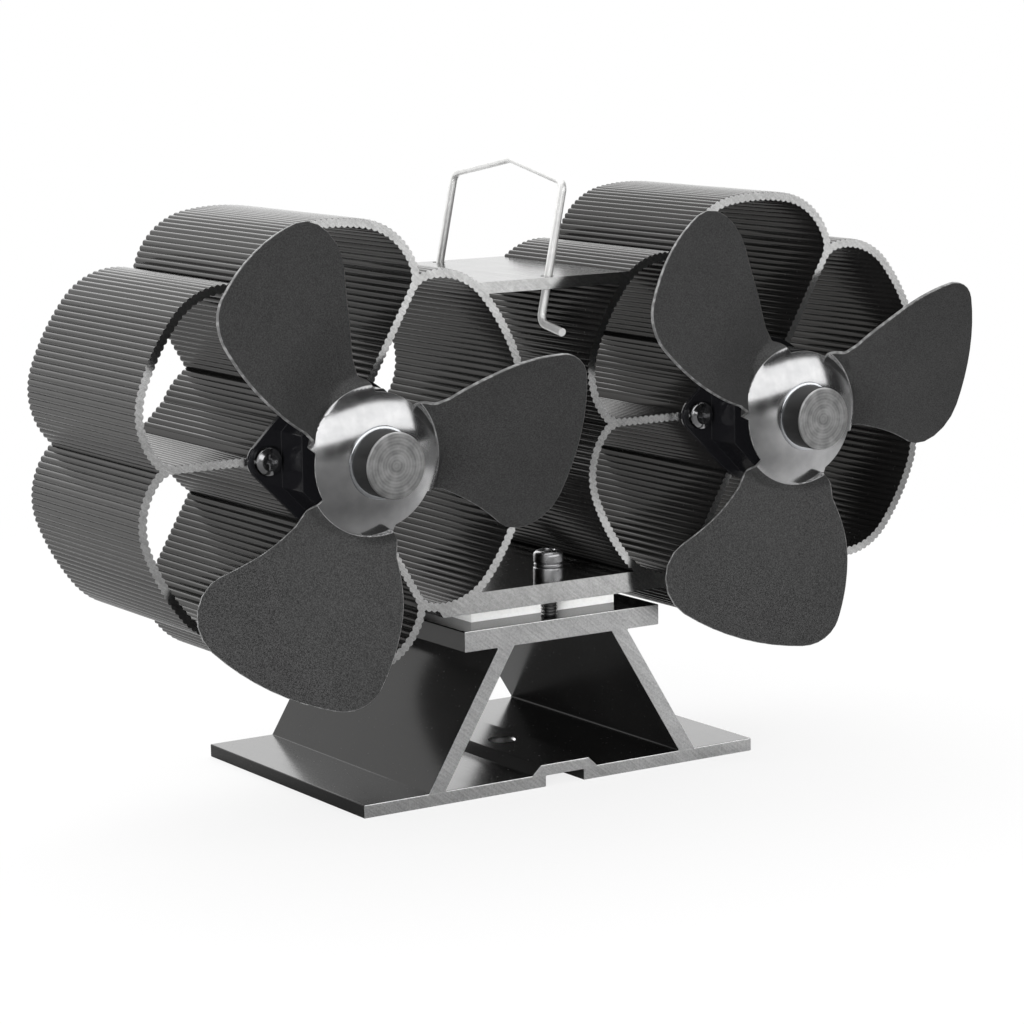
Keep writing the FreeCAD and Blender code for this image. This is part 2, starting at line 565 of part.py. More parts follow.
# Motor holder: an eight-sided cup on a flange with two ears, screwed to the ports on the spokes
def motor_holder(side, axis_x):
    holder = new_body(side + "_motor_holder")
    place(holder, axis_x, sink_front, axis_high)
    outline = new_sketch(holder, side + "_flange_outline", "XZ_Plane")
    flange_radius = tube_radius + z.flange_lap
    main, ear, pitch = flange_radius.value, z.ear_radius.value, port_pitch.value
    lean = math.degrees(math.acos((main - ear) / pitch))
    c, s = math.cos(math.radians(lean)), math.sin(math.radians(lean))
    touch = [(pitch + ear * c, ear * s), (main * c, main * s)]
    outline.addGeometry(arc((pitch, 0), ear, -lean, lean), False)
    outline.addGeometry(Part.LineSegment(Vector(*touch[0], 0), Vector(*touch[1], 0)), False)
    outline.addGeometry(arc((0, 0), main, lean, 180 - lean), False)
    outline.addGeometry(
        Part.LineSegment(Vector(-touch[1][0], touch[1][1], 0), Vector(-touch[0][0], touch[0][1], 0)), False)
    outline.addGeometry(arc((-pitch, 0), ear, 180 - lean, 180 + lean), False)
    outline.addGeometry(
        Part.LineSegment(Vector(-touch[0][0], -touch[0][1], 0), Vector(-touch[1][0], -touch[1][1], 0)),
        False)
    outline.addGeometry(arc((0, 0), main, 180 + lean, 360 - lean), False)
    outline.addGeometry(
        Part.LineSegment(Vector(touch[1][0], -touch[1][1], 0), Vector(touch[0][0], -touch[0][1], 0)), False)
    for geo in range(8):
        hold(outline, "Tangent", geo, 2, (geo + 1) % 8, 1)
    hold(outline, "Coincident", 2, 3, -1, 1)
    hold(outline, "Coincident", 6, 3, -1, 1)
    hold(outline, "PointOnObject", 0, 3, -1)
    hold(outline, "PointOnObject", 4, 3, -1)
    hold(outline, "DistanceX", -1, 1, 0, 3, port_pitch)
    hold(outline, "DistanceX", 4, 3, -1, 1, port_pitch)
    hold(outline, "Radius", 2, flange_radius)
    hold(outline, "Radius", 0, z.ear_radius)
    hold(outline, "Radius", 4, z.ear_radius)
    extrude(holder, "Pad", side + "_flange", outline, z.flange_thick)
    eight = new_sketch(holder, side + "_cup_outline", "XZ_Plane")
    cup_bore = z.motor_radius + z.motor_gap
    flat = cup_bore + z.cup_wall
    short = flat * (math.sqrt(2) - 1)
    draw_loop(eight, [
        (flat, -short), (flat, short), (short, flat), (-short, flat),
        (-flat, short), (-flat, -short), (-short, -flat), (short, -flat)])
    extrude(holder, "Pad", side + "_cup", eight, z.cup_ahead)
    inside = new_sketch(holder, side + "_cup_bore", "XZ_Plane")
    draw_circle(inside, 0, 0, cup_bore)
    extrude(holder, "Pocket", side + "_cup_bored", inside, z.cup_ahead - z.cup_front, back=True)
    window = new_sketch(holder, side + "_cup_window", "XZ_Plane")
    draw_circle(window, 0, 0, nose_radius + z.nose_gap)
    for where in (-port_pitch, port_pitch):
        draw_circle(window, where, 0, fix_radius + z.ear_hole_gap)
    through = extrude(holder, "Pocket", side + "_cup_windows", window)
    through.SideType = "Symmetric"
    return holder


# Holder screws: pan heads with a cross recess, one at each ear
def holder_screws(side, axis_x):
    top = -z.flange_thick - z.fix_head_high
    wide = z.fix_head_d / 2
    pair = []
    for end, sign in (("outer", -1), ("inner", 1)):
        name = "%s_holder_screw_%s" % (side, end)
        screw = revolve(name, [
            (0, top), (z.fix_head_flat / 2, top), (z.fix_shoulder_d / 2, top + z.fix_shoulder_drop),
            (wide, top + z.fix_crown_drop), (wide, -z.flange_thick), (fix_radius, -z.flange_thick),
            (fix_radius, z.fix_long - z.fix_point), (fix_radius - z.fix_point, z.fix_long),
            (0, z.fix_long)])
        place(screw, axis_x + sign * port_pitch, sink_front, axis_high)
        cross = new_sketch(screw, name + "_cross", "XZ_Plane", lift_off=-top)
        arm, slim = z.cross_arm, z.cross_slim
        draw_loop(cross, [
            (slim, slim), (slim, arm), (-slim, arm), (-slim, slim), (-arm, slim), (-arm, -slim),
            (-slim, -slim), (-slim, -arm), (slim, -arm), (slim, -slim), (arm, -slim), (arm, slim)])
        extrude(screw, "Pocket", name + "_recess", cross, z.cross_deep)
        pair.append(screw)
    return group(side + "_holder_screws", pair)


# Motor: drawn can, end cap, bushes, magnets, brushes and tabs stay; shaft, core and turns spin
def motor_parts(side, axis_x):
    def seat(thing):
        place(thing, axis_x, sink_front, axis_high)
        return thing

    front = z.cup_front - z.cup_ahead
    rear = front + z.motor_long
    nose = front - z.nose_ahead
    inner = z.motor_radius - z.can_wall
    cap_face = rear - z.cap_thick
    can = seat(revolve(side + "_motor_can", [
        (bush_fit, nose), (nose_radius, nose), (nose_radius, front), (z.motor_radius, front),
        (z.motor_radius, rear), (inner, rear), (inner, front + z.can_wall), (bush_fit, front + z.can_wall)]))
    cap_end = rear + z.cap_boss
    cap = seat(revolve(side + "_motor_end_cap", [
        (bush_fit, cap_face), (inner - z.slip_gap, cap_face), (inner - z.slip_gap, rear),
        (nose_radius, rear), (nose_radius, cap_end), (bush_fit, cap_end)]))
    bushes = []
    for end, start in (("front", nose), ("rear", cap_end - z.bush_long)):
        stop = start + z.bush_long
        bushes.append(seat(revolve("%s_motor_bush_%s" % (side, end), [
            (running, start), (motor_bush_radius, start), (motor_bush_radius, stop), (running, stop)])))
    bush_pair = group(side + "_motor_bushes", bushes)
    core_start = front + z.can_wall + z.core_space
    comm_end = cap_face - z.cap_clear
    comm_start = comm_end - z.comm_long
    core_end = comm_start - z.comm_gap - z.turn_thick
    magnet_out = inner - z.slip_gap
    magnet_in = magnet_out - z.magnet_thick
    core_radius = magnet_in - z.air_gap
    magnet_start = core_start - z.magnet_over
    magnet_end = core_end + z.magnet_over
    poles = []
    for end, angle in (("upper", 90), ("lower", 270)):
        pole = revolve("%s_magnet_%s" % (side, end), [
            (magnet_in, magnet_start), (magnet_out, magnet_start), (magnet_out, magnet_end),
            (magnet_in, magnet_end)], span=z.magnet_span)
        pole.Placement = Placement(Vector(), Rotation(Vector(0, 1, 0), angle))
        poles.append(seat(pole))
    magnets = group(side + "_motor_magnets", poles)
    shaft_front = z.shaft_end_gap - z.hub_ahead - boss_bore
    shaft_rear = cap_end + z.shaft_behind
    shaft = seat(revolve(side + "_motor_shaft", [
        (0, shaft_front), (shaft_radius, shaft_front), (shaft_radius, shaft_rear), (0, shaft_rear)]))
    core = new_body(side + "_armature_core")
    seat(core)
    disc = new_sketch(core, side + "_core_disc", "XZ_Plane", lift_off=-core_start)
    draw_circle(disc, 0, 0, core_radius)
    draw_circle(disc, 0, 0, shaft_radius + z.slip_gap)
    extrude(core, "Pad", side + "_core_stack", disc, core_end - core_start, back=True)
    slot = new_sketch(core, side + "_core_slot", "XZ_Plane")
    draw_circle(slot, 0, core_radius - z.slot_inset, z.slot_radius)
    slotted = extrude(core, "Pocket", side + "_core_slotted", slot)
    slotted.SideType = "Symmetric"
    pattern(core, side + "_core_slots", [slotted], slot, "N_Axis", 3)
    turns = []
    turn_in = shaft_radius + z.turn_clear
    turn_out = core_radius - z.turn_inset
    for end, start in (("front", core_start - z.turn_thick), ("rear", core_end)):
        turns.append(seat(revolve("%s_turns_%s" % (side, end), [
            (turn_in, start), (turn_out, start), (turn_out, start + z.turn_thick),
            (turn_in, start + z.turn_thick)])))
    windings = group(side + "_windings", turns)
    comm_in = shaft_radius + z.slip_gap
    comm_radius = comm_in + z.comm_wall
    commutator = seat(revolve(side + "_commutator", [
        (comm_in, comm_start), (comm_radius, comm_start), (comm_radius, comm_end), (comm_in, comm_end)]))
    leaves = []
    tabs = []
    leaf_out = comm_radius + z.brush_gap
    leaf_start = comm_start + z.brush_inset
    for end, sign in (("upper", 1), ("lower", -1)):
        low = leaf_out if sign > 0 else -leaf_out - z.brush_thick
        leaves.append(box("%s_brush_%s" % (side, end), z.brush_wide, cap_face - leaf_start, z.brush_thick,
                          axis_x - z.brush_wide / 2, sink_front + leaf_start, axis_high + low))
        tabs.append(box("%s_tab_%s" % (side, end), z.tab_wide, z.tab_long, z.tab_thick,
                        axis_x - z.tab_wide / 2, sink_front + rear,
                        axis_high + sign * z.tab_pitch - z.tab_thick / 2))
    brushes = group(side + "_motor_brushes", leaves)
    terminals = group(side + "_motor_terminals", tabs)
    return [can, cap, bush_pair, magnets, brushes, terminals, shaft, core, windings, commutator]


# Rotor: hub disc, twisted roots and three paddles stamped from one sheet, with a turned boss
def rotor_parts(side, axis_x, fan_turn):
    def seat(thing):
        thing.Placement = Placement(Vector(), Rotation(Vector(0, -1, 0), fan_turn.value))
        bind(thing, "Placement.Rotation.Angle", fan_turn)
        place(thing, axis_x, sink_front - z.hub_ahead, axis_high)
        return thing

    blades = seat(new_body(side + "_fan_blades"))
    disc = new_sketch(blades, side + "_hub_disc", "XZ_Plane")
    draw_circle(disc, 0, 0, z.hub_radius)
    draw_circle(disc, 0, 0, z.hub_hole)
    extrude(blades, "Pad", side + "_hub_sheet", disc, z.sheet_thick, middle=True)
    trim = new_sketch(blades, side + "_hub_chord", "XZ_Plane")
    far = z.hub_radius + z.cut_past
    draw_loop(trim, [(bend_in, -far), (far, -far), (far, far), (bend_in, far)])
    chord = extrude(blades, "Pocket", side + "_hub_trimmed", trim)
    chord.SideType = "Symmetric"
    pattern(blades, side + "_hub_chords", [chord], trim, "N_Axis", 3)
    inner = new_sketch(blades, side + "_root_inner", "YZ_Plane", lift_off=bend_in)
    bend_half = root(z.hub_radius * z.hub_radius - bend_in * bend_in) - z.root_inset
    draw_loop(inner, [
        (-half_sheet, -bend_half), (half_sheet, -bend_half), (half_sheet, bend_half),
        (-half_sheet, bend_half)])
    outer = new_sketch(blades, side + "_root_outer", "YZ_Plane", lift_off=bend_out, spin=z.blade_pitch)
    draw_loop(outer, [
        (-half_sheet, -z.root_trail), (half_sheet, -z.root_trail), (half_sheet, z.root_lead),
        (-half_sheet, z.root_lead)])
    twist = blades.newObject("PartDesign::AdditiveLoft", side + "_root_twist")
    twist.Profile = inner
    twist.Sections = [outer]
    twist.Ruled = True
    paddle = new_sketch(blades, side + "_paddle_outline", "XZ_Plane", spin=z.blade_pitch,
                        spin_axis=(1, 0, 0))
    draw_paddle(paddle)
    sheet_pad = extrude(blades, "Pad", side + "_paddle", paddle, z.sheet_thick, middle=True)
    pattern(blades, side + "_blade_set", [twist, sheet_pad], role(blades, "Y_Axis"), "", 3)
    face = -half_sheet - z.boss_ahead
    neck = z.hub_hole - z.slip_gap
    shaft_fit = shaft_radius + z.slip_gap
    collar_end = half_sheet + z.collar_long
    boss = seat(revolve(side + "_hub_boss", [
        (0, face), (z.boss_radius - z.boss_edge, face), (z.boss_radius, face + z.boss_edge),
        (z.boss_radius, -half_sheet), (neck, -half_sheet), (neck, half_sheet), (z.collar_radius, half_sheet),
        (z.collar_radius, collar_end), (shaft_fit, collar_end), (shaft_fit, -boss_bore), (0, -boss_bore)]))
    return [blades, boss]


# Paddle outline: root edge, bowed leading edge, two rounded corners, round tip and hollow trailing edge
def draw_paddle(sketch):
    start = Vector(bend_out.value, z.root_lead.value, 0)
    end = Vector(bend_out.value, -z.root_trail.value, 0)
    lead_aim, trail_aim = z.lead_aim.value, -z.trail_aim.value
    lead_reach = tip_radius - z.lead_corner
    trail_reach = tip_radius - z.trail_corner
    high = ray(lead_reach.value, lead_aim)
    low = ray(trail_reach.value, trail_aim)
    lead_gap = z.lead_bow.value - z.lead_corner.value
    lead_mid = meet(start, z.lead_bow.value, high, lead_gap)
    lead_touch = high + (high - lead_mid) * (z.lead_corner.value / lead_gap)
    trail_gap = z.trail_bow.value + z.trail_corner.value
    trail_mid = meet(end, z.trail_bow.value, low, trail_gap)
    trail_touch = low + (trail_mid - low) * (z.trail_corner.value / trail_gap)
    sketch.addGeometry(Part.LineSegment(end, start), False)
    sketch.addGeometry(arc(lead_mid, z.lead_bow.value, heading(lead_touch - lead_mid),
                           heading(start - lead_mid)), False)
    sketch.addGeometry(arc(high, z.lead_corner.value, lead_aim, heading(lead_touch - high)), False)
    sketch.addGeometry(arc((0, 0), tip_radius.value, trail_aim, lead_aim), False)
    sketch.addGeometry(arc(low, z.trail_corner.value, heading(trail_touch - low), trail_aim), False)
    sketch.addGeometry(arc(trail_mid, z.trail_bow.value, heading(trail_touch - trail_mid),
                           heading(end - trail_mid)), False)
    hold(sketch, "Vertical", 0)
    hold(sketch, "Coincident", 0, 2, 1, 2)
    hold(sketch, "Tangent", 1, 1, 2, 2)
    hold(sketch, "Tangent", 2, 1, 3, 2)
    hold(sketch, "Tangent", 3, 1, 4, 2)
    hold(sketch, "Tangent", 4, 1, 5, 1)
    hold(sketch, "Coincident", 5, 2, 0, 1)
    hold(sketch, "Coincident", 3, 3, -1, 1)
    pin(sketch, 0, 2, bend_out, z.root_lead)
    hold(sketch, "DistanceY", 0, 1, -1, 1, z.root_trail)
    hold(sketch, "Radius", 1, z.lead_bow)
    hold(sketch, "Radius", 2, z.lead_corner)
    hold(sketch, "Radius", 3, tip_radius)
    hold(sketch, "Radius", 4, z.trail_corner)
    hold(sketch, "Radius", 5, z.trail_bow)
    lead_rise = "(%s * sin(%s * 1 deg))" % (lead_reach.text, z.lead_aim.text)
    trail_fall = "(%s * sin(%s * 1 deg))" % (trail_reach.text, z.trail_aim.text)
    hold(sketch, "DistanceY", -1, 1, 2, 3, Size(high.y, lead_rise))
    hold(sketch, "DistanceY", 4, 3, -1, 1, Size(-low.y, trail_fall))


def ray(length, angle):
    return Vector(length * math.cos(math.radians(angle)), length * math.sin(math.radians(angle)), 0)


def heading(way):
    return math.degrees(math.atan2(way.y, way.x))


def meet(a, ra, b, rb):
    span = (b - a).Length
    ahead = (ra * ra - rb * rb + span * span) / (2 * span)
    aside = math.sqrt(ra * ra - ahead * ahead)
    unit = (b - a) * (1 / span)
    return a + unit * ahead + Vector(unit.y, -unit.x, 0) * aside


for side, axis_x, fan_turn in (
        ("left", -z.axis_half, z.left_fan_turn), ("right", z.axis_half, z.right_fan_turn)):
    nodes.append(motor_holder(side, axis_x))
    nodes.append(holder_screws(side, axis_x))
    nodes += motor_parts(side, axis_x)
    nodes += rotor_parts(side, axis_x, fan_turn)

# Carry handle: one bent wire, house-shaped on top, its legs through the top bridge and its feet turned out
handle = new_body("carry_handle")
handle.Placement = Placement(Vector(), Rotation(Vector(0, 1, 0), z.handle_tilt.value))
bind(handle, "Placement.Rotation.Angle", z.handle_tilt)
place(handle, 0, sink_mid, bridge_under + z.top_bridge_thick / 2)
route = new_sketch(handle, "handle_route", "YZ_Plane")
leg = handle_half
foot_level = -z.foot_drop - z.foot_fall
apex = z.shoulder_high + z.apex_rise
stops = [
    (-leg - z.foot_out, foot_level), (-leg, -z.foot_drop), (-leg, z.shoulder_high), (lift(0), apex),
    (leg, z.shoulder_high), (leg, -z.foot_drop), (leg + z.foot_out, foot_level)]
spots = [Vector(u.value, v.value, 0) for u, v in stops]
bends = [z.handle_bend, z.handle_bend, z.apex_bend, z.handle_bend, z.handle_bend]
for i in range(6):
    route.addGeometry(Part.LineSegment(spots[i], spots[i + 1]), True)
for i in range(5):
    hold(route, "Coincident", i, 2, i + 1, 1)
for i, (u, v) in enumerate(stops[:-1]):
    pin(route, i, 1, u, v)
pin(route, 5, 2, *stops[-1])
touches = [[spots[0], None]]
curves = []
for i, bend in enumerate(bends, 1):
    back = (spots[i - 1] - spots[i]).normalize()
    ahead = (spots[i + 1] - spots[i]).normalize()
    half_angle = back.getAngle(ahead) / 2
    cut = bend.value / math.tan(half_angle)
    mid = spots[i] + (back + ahead).normalize() * (bend.value / math.sin(half_angle))
    touches[-1][1] = spots[i] + back * cut
    touches.append([spots[i] + ahead * cut, None])
    curves.append((mid, bend, touches[-2][1], touches[-1][0]))
touches[-1][1] = spots[6]
for i in range(6):
    line = route.addGeometry(Part.LineSegment(touches[i][0], touches[i][1]), False)
    if i == 0:
        first = line
for i in range(6):
    for point in (1, 2):
        if (i, point) == (0, 1):
            hold(route, "Coincident", first, 1, 0, 1)
        elif (i, point) == (5, 2):
            hold(route, "Coincident", first + 5, 2, 5, 2)
        else:
            hold(route, "PointOnObject", first + i, point, i)
for i, (mid, bend, one, two) in enumerate(curves):
    a, b = heading(one - mid), heading(two - mid)
    forward = (b - a) % 360 < 180
    curve = route.addGeometry(arc(mid, bend.value, a, b) if forward else arc(mid, bend.value, b, a), False)
    hold(route, "Tangent", first + i, 2, curve, 1 if forward else 2)
    hold(route, "Tangent", first + i + 1, 1, curve, 2 if forward else 1)
    hold(route, "Radius", curve, bend)
droop = Size(math.degrees(math.atan(z.foot_fall.value / z.foot_out.value)),
             "atan(%s / %s)" % (z.foot_fall.text, z.foot_out.text))
round_wire = new_sketch(handle, "handle_wire", "XZ_Plane", spin=droop, spin_axis=(1, 0, 0))
bind(round_wire, "AttachmentOffset.Base.y", foot_level)
bind(round_wire, "AttachmentOffset.Base.z", leg + z.foot_out)
draw_circle(round_wire, 0, 0, z.wire_d / 2)
pipe = handle.newObject("PartDesign::AdditivePipe", "handle_bent")
pipe.Profile = round_wire
pipe.Spine = route
nodes.append(handle)

# Every feature is checked before the files are written
doc.recompute()
for thing in doc.Objects:
    if "Invalid" in thing.State or "Error" in thing.State:
        raise RuntimeError("feature failed: " + thing.Label)
os.makedirs("parts", exist_ok=True)
for node in nodes:
    shape = node.Shape
    if shape.isNull() or not shape.isValid():
        raise RuntimeError("bad solid: " + node.Label)
    shape.exportStep("parts/%s.step" % node.Label)
    print("%-24s solids %2d  volume %9.1f" % (node.Label, len(shape.Solids), shape.Volume))
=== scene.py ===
import math

import bmesh
import bpy
from mathutils import Matrix, Quaternion, Vector


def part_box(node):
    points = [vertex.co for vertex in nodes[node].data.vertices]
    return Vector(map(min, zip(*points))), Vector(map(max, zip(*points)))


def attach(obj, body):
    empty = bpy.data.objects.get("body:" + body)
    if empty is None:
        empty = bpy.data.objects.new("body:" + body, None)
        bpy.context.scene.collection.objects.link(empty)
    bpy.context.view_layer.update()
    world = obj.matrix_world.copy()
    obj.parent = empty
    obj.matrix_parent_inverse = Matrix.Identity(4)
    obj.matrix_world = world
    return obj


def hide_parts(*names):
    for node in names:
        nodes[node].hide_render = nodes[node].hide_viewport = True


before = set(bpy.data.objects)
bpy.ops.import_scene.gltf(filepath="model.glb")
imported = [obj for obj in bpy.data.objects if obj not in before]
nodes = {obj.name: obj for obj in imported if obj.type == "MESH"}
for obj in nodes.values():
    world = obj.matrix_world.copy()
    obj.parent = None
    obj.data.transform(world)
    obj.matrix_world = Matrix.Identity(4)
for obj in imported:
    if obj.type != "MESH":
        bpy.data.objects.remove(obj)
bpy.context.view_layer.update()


# Stand
# One length of black anodised aluminium extrusion: a flat foot with a raised channel, two sloping
# legs and a thick top plate. It is sawn to length, so its front and rear faces are bare metal.
class Tone:
    """A value in a material's nodes, so that shader maths reads as plain sums."""

    def __init__(self, tree, socket=None):
        self.tree = tree
        self.socket = socket

    def node(self, kind, settings=None, links=None, out=0):
        """A new node: its kind, its settings, what its sockets get, and the output to go on with."""
        made = self.tree.nodes.new("ShaderNode" + kind)
        for name, value in (settings or {}).items():
            setattr(made, name, value)
        for key, value in (links or {}).items():
            self.plug(made.inputs[key], value)
        return Tone(self.tree, made.outputs[out])

    def plug(self, socket, value):
        """Links a value to a socket, or sets a plain number or colour on it."""
        if isinstance(value, Tone):
            self.tree.links.new(value.socket, socket)
        elif socket.type == "RGBA" and len(value) == 3:
            socket.default_value = (*value, 1.0)
        else:
            socket.default_value = value

    def maths(self, operation, first, second=0.0):
        return self.node("Math", {"operation": operation}, {0: first, 1: second})

    def __add__(self, other):
        return self.maths("ADD", self, other)

    def __sub__(self, other):
        return self.maths("SUBTRACT", self, other)

    def __mul__(self, other):
        return self.maths("MULTIPLY", self, other)

    def __radd__(self, other):
        return self.maths("ADD", other, self)

    def __rsub__(self, other):
        return self.maths("SUBTRACT", other, self)

    def __rmul__(self, other):
        return self.maths("MULTIPLY", other, self)

    def __pow__(self, other):
        return self.maths("POWER", self, other)

    def sine(self):
        return self.maths("SINE", self)

    def step(self, low, high):
        """0 below low, 1 above high and a soft ramp between."""
        return self.node("MapRange", {"interpolation_type": "SMOOTHSTEP"},
                         {"Value": self, "From Min": low, "From Max": high})

    def blend(self, first, second):
        """The first colour where this mask is 0, the second where it is 1."""
        factor, first_colour, second_colour, result = 0, 6, 7, 2
        links = {factor: self, first_colour: first, second_colour: second}
        return self.node("Mix", {"data_type": "RGBA"}, links, result)

    def place(self, scale=(1, 1, 1), turn=(0, 0, 0)):
        """The piece's own coordinates in metres, turned and stretched."""
        at = self.node("TexCoord", out="Object")
        return self.node("Mapping", {}, {"Vector": at, "Rotation": turn, "Scale": scale})

    def parts(self, vector):
        """The three numbers of a vector."""
        split = self.node("SeparateXYZ", {}, {0: vector}).socket.node
        return [Tone(self.tree, socket) for socket in split.outputs]

    def noise(self, vector, scale, detail=3.0, rough=0.5):
        """Cloudy specks, so many to a metre, with finer ones laid over them."""
        return self.node("TexNoise", {}, {"Vector": vector, "Scale": scale, "Detail": detail,
                                          "Roughness": rough})

    def bump(self, height, distance, strength=1.0):
        return self.node("Bump", {}, {"Height": height, "Distance": distance, "Strength": strength})


def finish(name, **constants):
    """A new material, its maths and the sockets of its shader, with the even values set."""
    material = bpy.data.materials.new(name)
    material.use_nodes = True
    sockets = material.node_tree.nodes["Principled BSDF"].inputs
    tone = Tone(material.node_tree)
    for key, value in constants.items():
        tone.plug(sockets[key.replace("_", " ").title().replace("Ior", "IOR")], value)
    return material, tone, sockets


def rounded(corners, radius, steps=3):
    """A closed outline with each corner of it rounded by a small arc."""
    points = []
    for i, corner in enumerate(corners):
        here = Vector(corner)
        back = (Vector(corners[i - 1]) - here).normalized()
        ahead = (Vector(corners[(i + 1) % len(corners)]) - here).normalized()
        half = back.angle(ahead) / 2
        middle = here + (back + ahead).normalized() * (radius / math.sin(half))
        start = here + back * (radius / math.tan(half)) - middle
        end = here + ahead * (radius / math.tan(half)) - middle
        for k in range(steps + 1):
            points.append(middle + start.slerp(end, k / steps) * radius)
    return points


def add_piece(name, mesh, body, materials, node):
    """A new piece that rides on a body and stands for a node of the frame."""
    piece = bpy.data.objects.new(name, mesh)
    bpy.context.scene.collection.objects.link(piece)
    for material in materials:
        mesh.materials.append(material)
    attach(piece, body)
    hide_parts(node)
    return piece


def extrusion(name, loops, front, rear, edge=0.0, crease=35):
    """A mesh of one section, closed loops in x and z, with a second finish on its sawn ends."""
    curve = bpy.data.curves.new(name, "CURVE")
    curve.dimensions = "2D"
    curve.fill_mode = "BOTH"
    curve.extrude = (rear - front) / 2 - edge
    curve.bevel_depth = edge
    curve.bevel_resolution = 1
    curve.offset = -edge
    for loop in loops:
        spline = curve.splines.new("POLY")
        spline.points.add(len(loop) - 1)
        spline.use_cyclic_u = True
        for point, (x, z) in zip(spline.points, loop):
            point.co = (x, z, 0, 1)
    drawn = bpy.data.objects.new(name + "_section", curve)
    mesh = bpy.data.meshes.new_from_object(drawn)
    bpy.data.objects.remove(drawn)
    mesh.name = name
    mesh.materials.clear()
    mesh.transform(Matrix.Translation((0, (front + rear) / 2, 0)) @ Matrix.Rotation(math.pi / 2, 4, "X"))
    work = bmesh.new()
    work.from_mesh(mesh)
    bmesh.ops.remove_doubles(work, verts=work.verts, dist=1e-6)
    bmesh.ops.recalc_face_normals(work, faces=work.faces)
    for face in work.faces:
        face.smooth = True
        face.material_index = int(abs(face.normal.y) > 0.9)
    work.to_mesh(mesh)
    work.free()
    mesh.set_sharp_from_angle(angle=math.radians(crease))
    return mesh


def drill(piece, places, radius, low, high, flare=0.0, crease=35):
    """Upright round holes through a piece, straight or flared towards the top, with bare walls."""
    tool = bmesh.new()
    for x, y in places:
        bmesh.ops.create_cone(
            tool, cap_ends=True, segments=48, radius1=radius, radius2=radius + flare, depth=high - low,
            matrix=Matrix.Translation((x, y, (low + high) / 2)))
    mesh = bpy.data.meshes.new("drill")
    tool.to_mesh(mesh)
    tool.free()
    bit = bpy.data.objects.new("drill", mesh)
    bpy.context.scene.collection.objects.link(bit)
    cut = piece.modifiers.new("drill", "BOOLEAN")
    cut.object = bit
    cut.solver = "EXACT"
    bpy.context.view_layer.update()
    drilled = bpy.data.meshes.new_from_object(piece.evaluated_get(bpy.context.evaluated_depsgraph_get()))
    for face in drilled.polygons:
        away = min(math.hypot(face.center.x - x, face.center.y - y) for x, y in places)
        if away < (radius + flare) * 1.01 and abs(face.normal.z) < 0.8:
            face.material_index = 1
    drilled.set_sharp_from_angle(angle=math.radians(crease))
    piece.modifiers.clear()
    piece.data = drilled
    bpy.data.objects.remove(bit)


def level(piece):
    """Shades the flat faces of a piece as flat, right up to its small rounded edges."""
    even = piece.modifiers.new("level", "WEIGHTED_NORMAL")
    even.keep_sharp = True
    even.weight = 100


def anodised(name, tint, ior, gloss, lines):
    """Black anodised extrusion: dark and glossy, with faint die lines along its length and dust."""
    material, tone, sockets = finish(name, ior=ior, specular_tint=tint)
    streak = tone.noise(tone.place(scale=(1, 0.02, 1)), scale=1500, detail=2)
    cloud = tone.noise(tone.place(), scale=60, detail=4)
    dust = tone.noise(tone.place(), scale=1400, detail=2).step(0.7, 0.76)
    dye = (cloud * 0.4 + dust * 0.6).blend((0.003, 0.003, 0.0032), (0.02, 0.0195, 0.0185))
    tone.plug(sockets["Base Color"], dye)
    tone.plug(sockets["Roughness"], gloss + cloud * 0.07 + streak * (lines * 0.2) + dust * 0.2)
    tone.plug(sockets["Normal"], tone.bump(streak, distance=0.00002, strength=lines))
    return material


def sawn(name, shade, gloss, marks_deep):
    """A sawn end: bare aluminium with a fine grain and faint slanting saw marks."""
    material, tone, sockets = finish(name, metallic=1.0)
    slant = tone.place(turn=(0, 0.9, 0))
    drawn_out = tone.node("Mapping", {}, {"Vector": slant, "Scale": (1, 1, 0.06)})
    marks = tone.noise(drawn_out, scale=2600, detail=3, rough=0.6)
    grain = tone.noise(tone.place(), scale=1900, detail=3, rough=0.7)
    cloud = tone.noise(tone.place(), scale=110, detail=4)
    light = tuple(1.25 * c for c in shade)
    dark = tuple(0.7 * c for c in shade)
    uneven = (marks * 0.35 + grain * 0.45 + cloud * 0.2).step(0.3, 0.7)
    tone.plug(sockets["Base Color"], uneven.blend(dark, light))
    tone.plug(sockets["Roughness"], gloss + grain * 0.06)
    tone.plug(sockets["Normal"], tone.bump(marks * 0.5 + grain * 0.5, distance=marks_deep, strength=0.4))
    return material


stand_low, stand_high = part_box("base_stand")
foot_half = stand_high.x
foot_top = 0.0031
leg_foot, leg_head = 0.0373, 0.018
leg_wall = 0.00445
plate_half, plate_under = 0.0271, 0.03445
channel_top, channel_half, channel_foot = 0.0053, 0.0067, 0.0091
groove_half, groove_roof = 0.0053, 0.0026
hole_radius, hole_y = 0.00295, -0.0094
chamfer_down, chamfer_up = 0.0006, 0.0002
corner_round, saw_edge = 0.00025, 0.0002
drill_past = 0.001
half_section = [
    (groove_half, groove_roof), (groove_half, 0), (foot_half, 0), (foot_half, foot_top),
    (leg_foot, foot_top), (leg_head, plate_under), (plate_half, plate_under), (plate_half, stand_high.z)]
outer = half_section + [(-x, z) for x, z in reversed(half_section)]
half_tunnel = [
    (channel_half, channel_top), (channel_foot, foot_top), (leg_foot - leg_wall, foot_top),
    (leg_head - leg_wall, plate_under)]
tunnel = half_tunnel + [(-x, z) for x, z in reversed(half_tunnel)]
stand_mesh = extrusion(
    "stand", [rounded(outer, corner_round), rounded(tunnel, corner_round)], stand_low.y, stand_high.y,
    edge=saw_edge)
stand_black = anodised("stand_black", tint=(1.0, 0.99, 0.97), ior=1.38, gloss=0.1, lines=0.25)
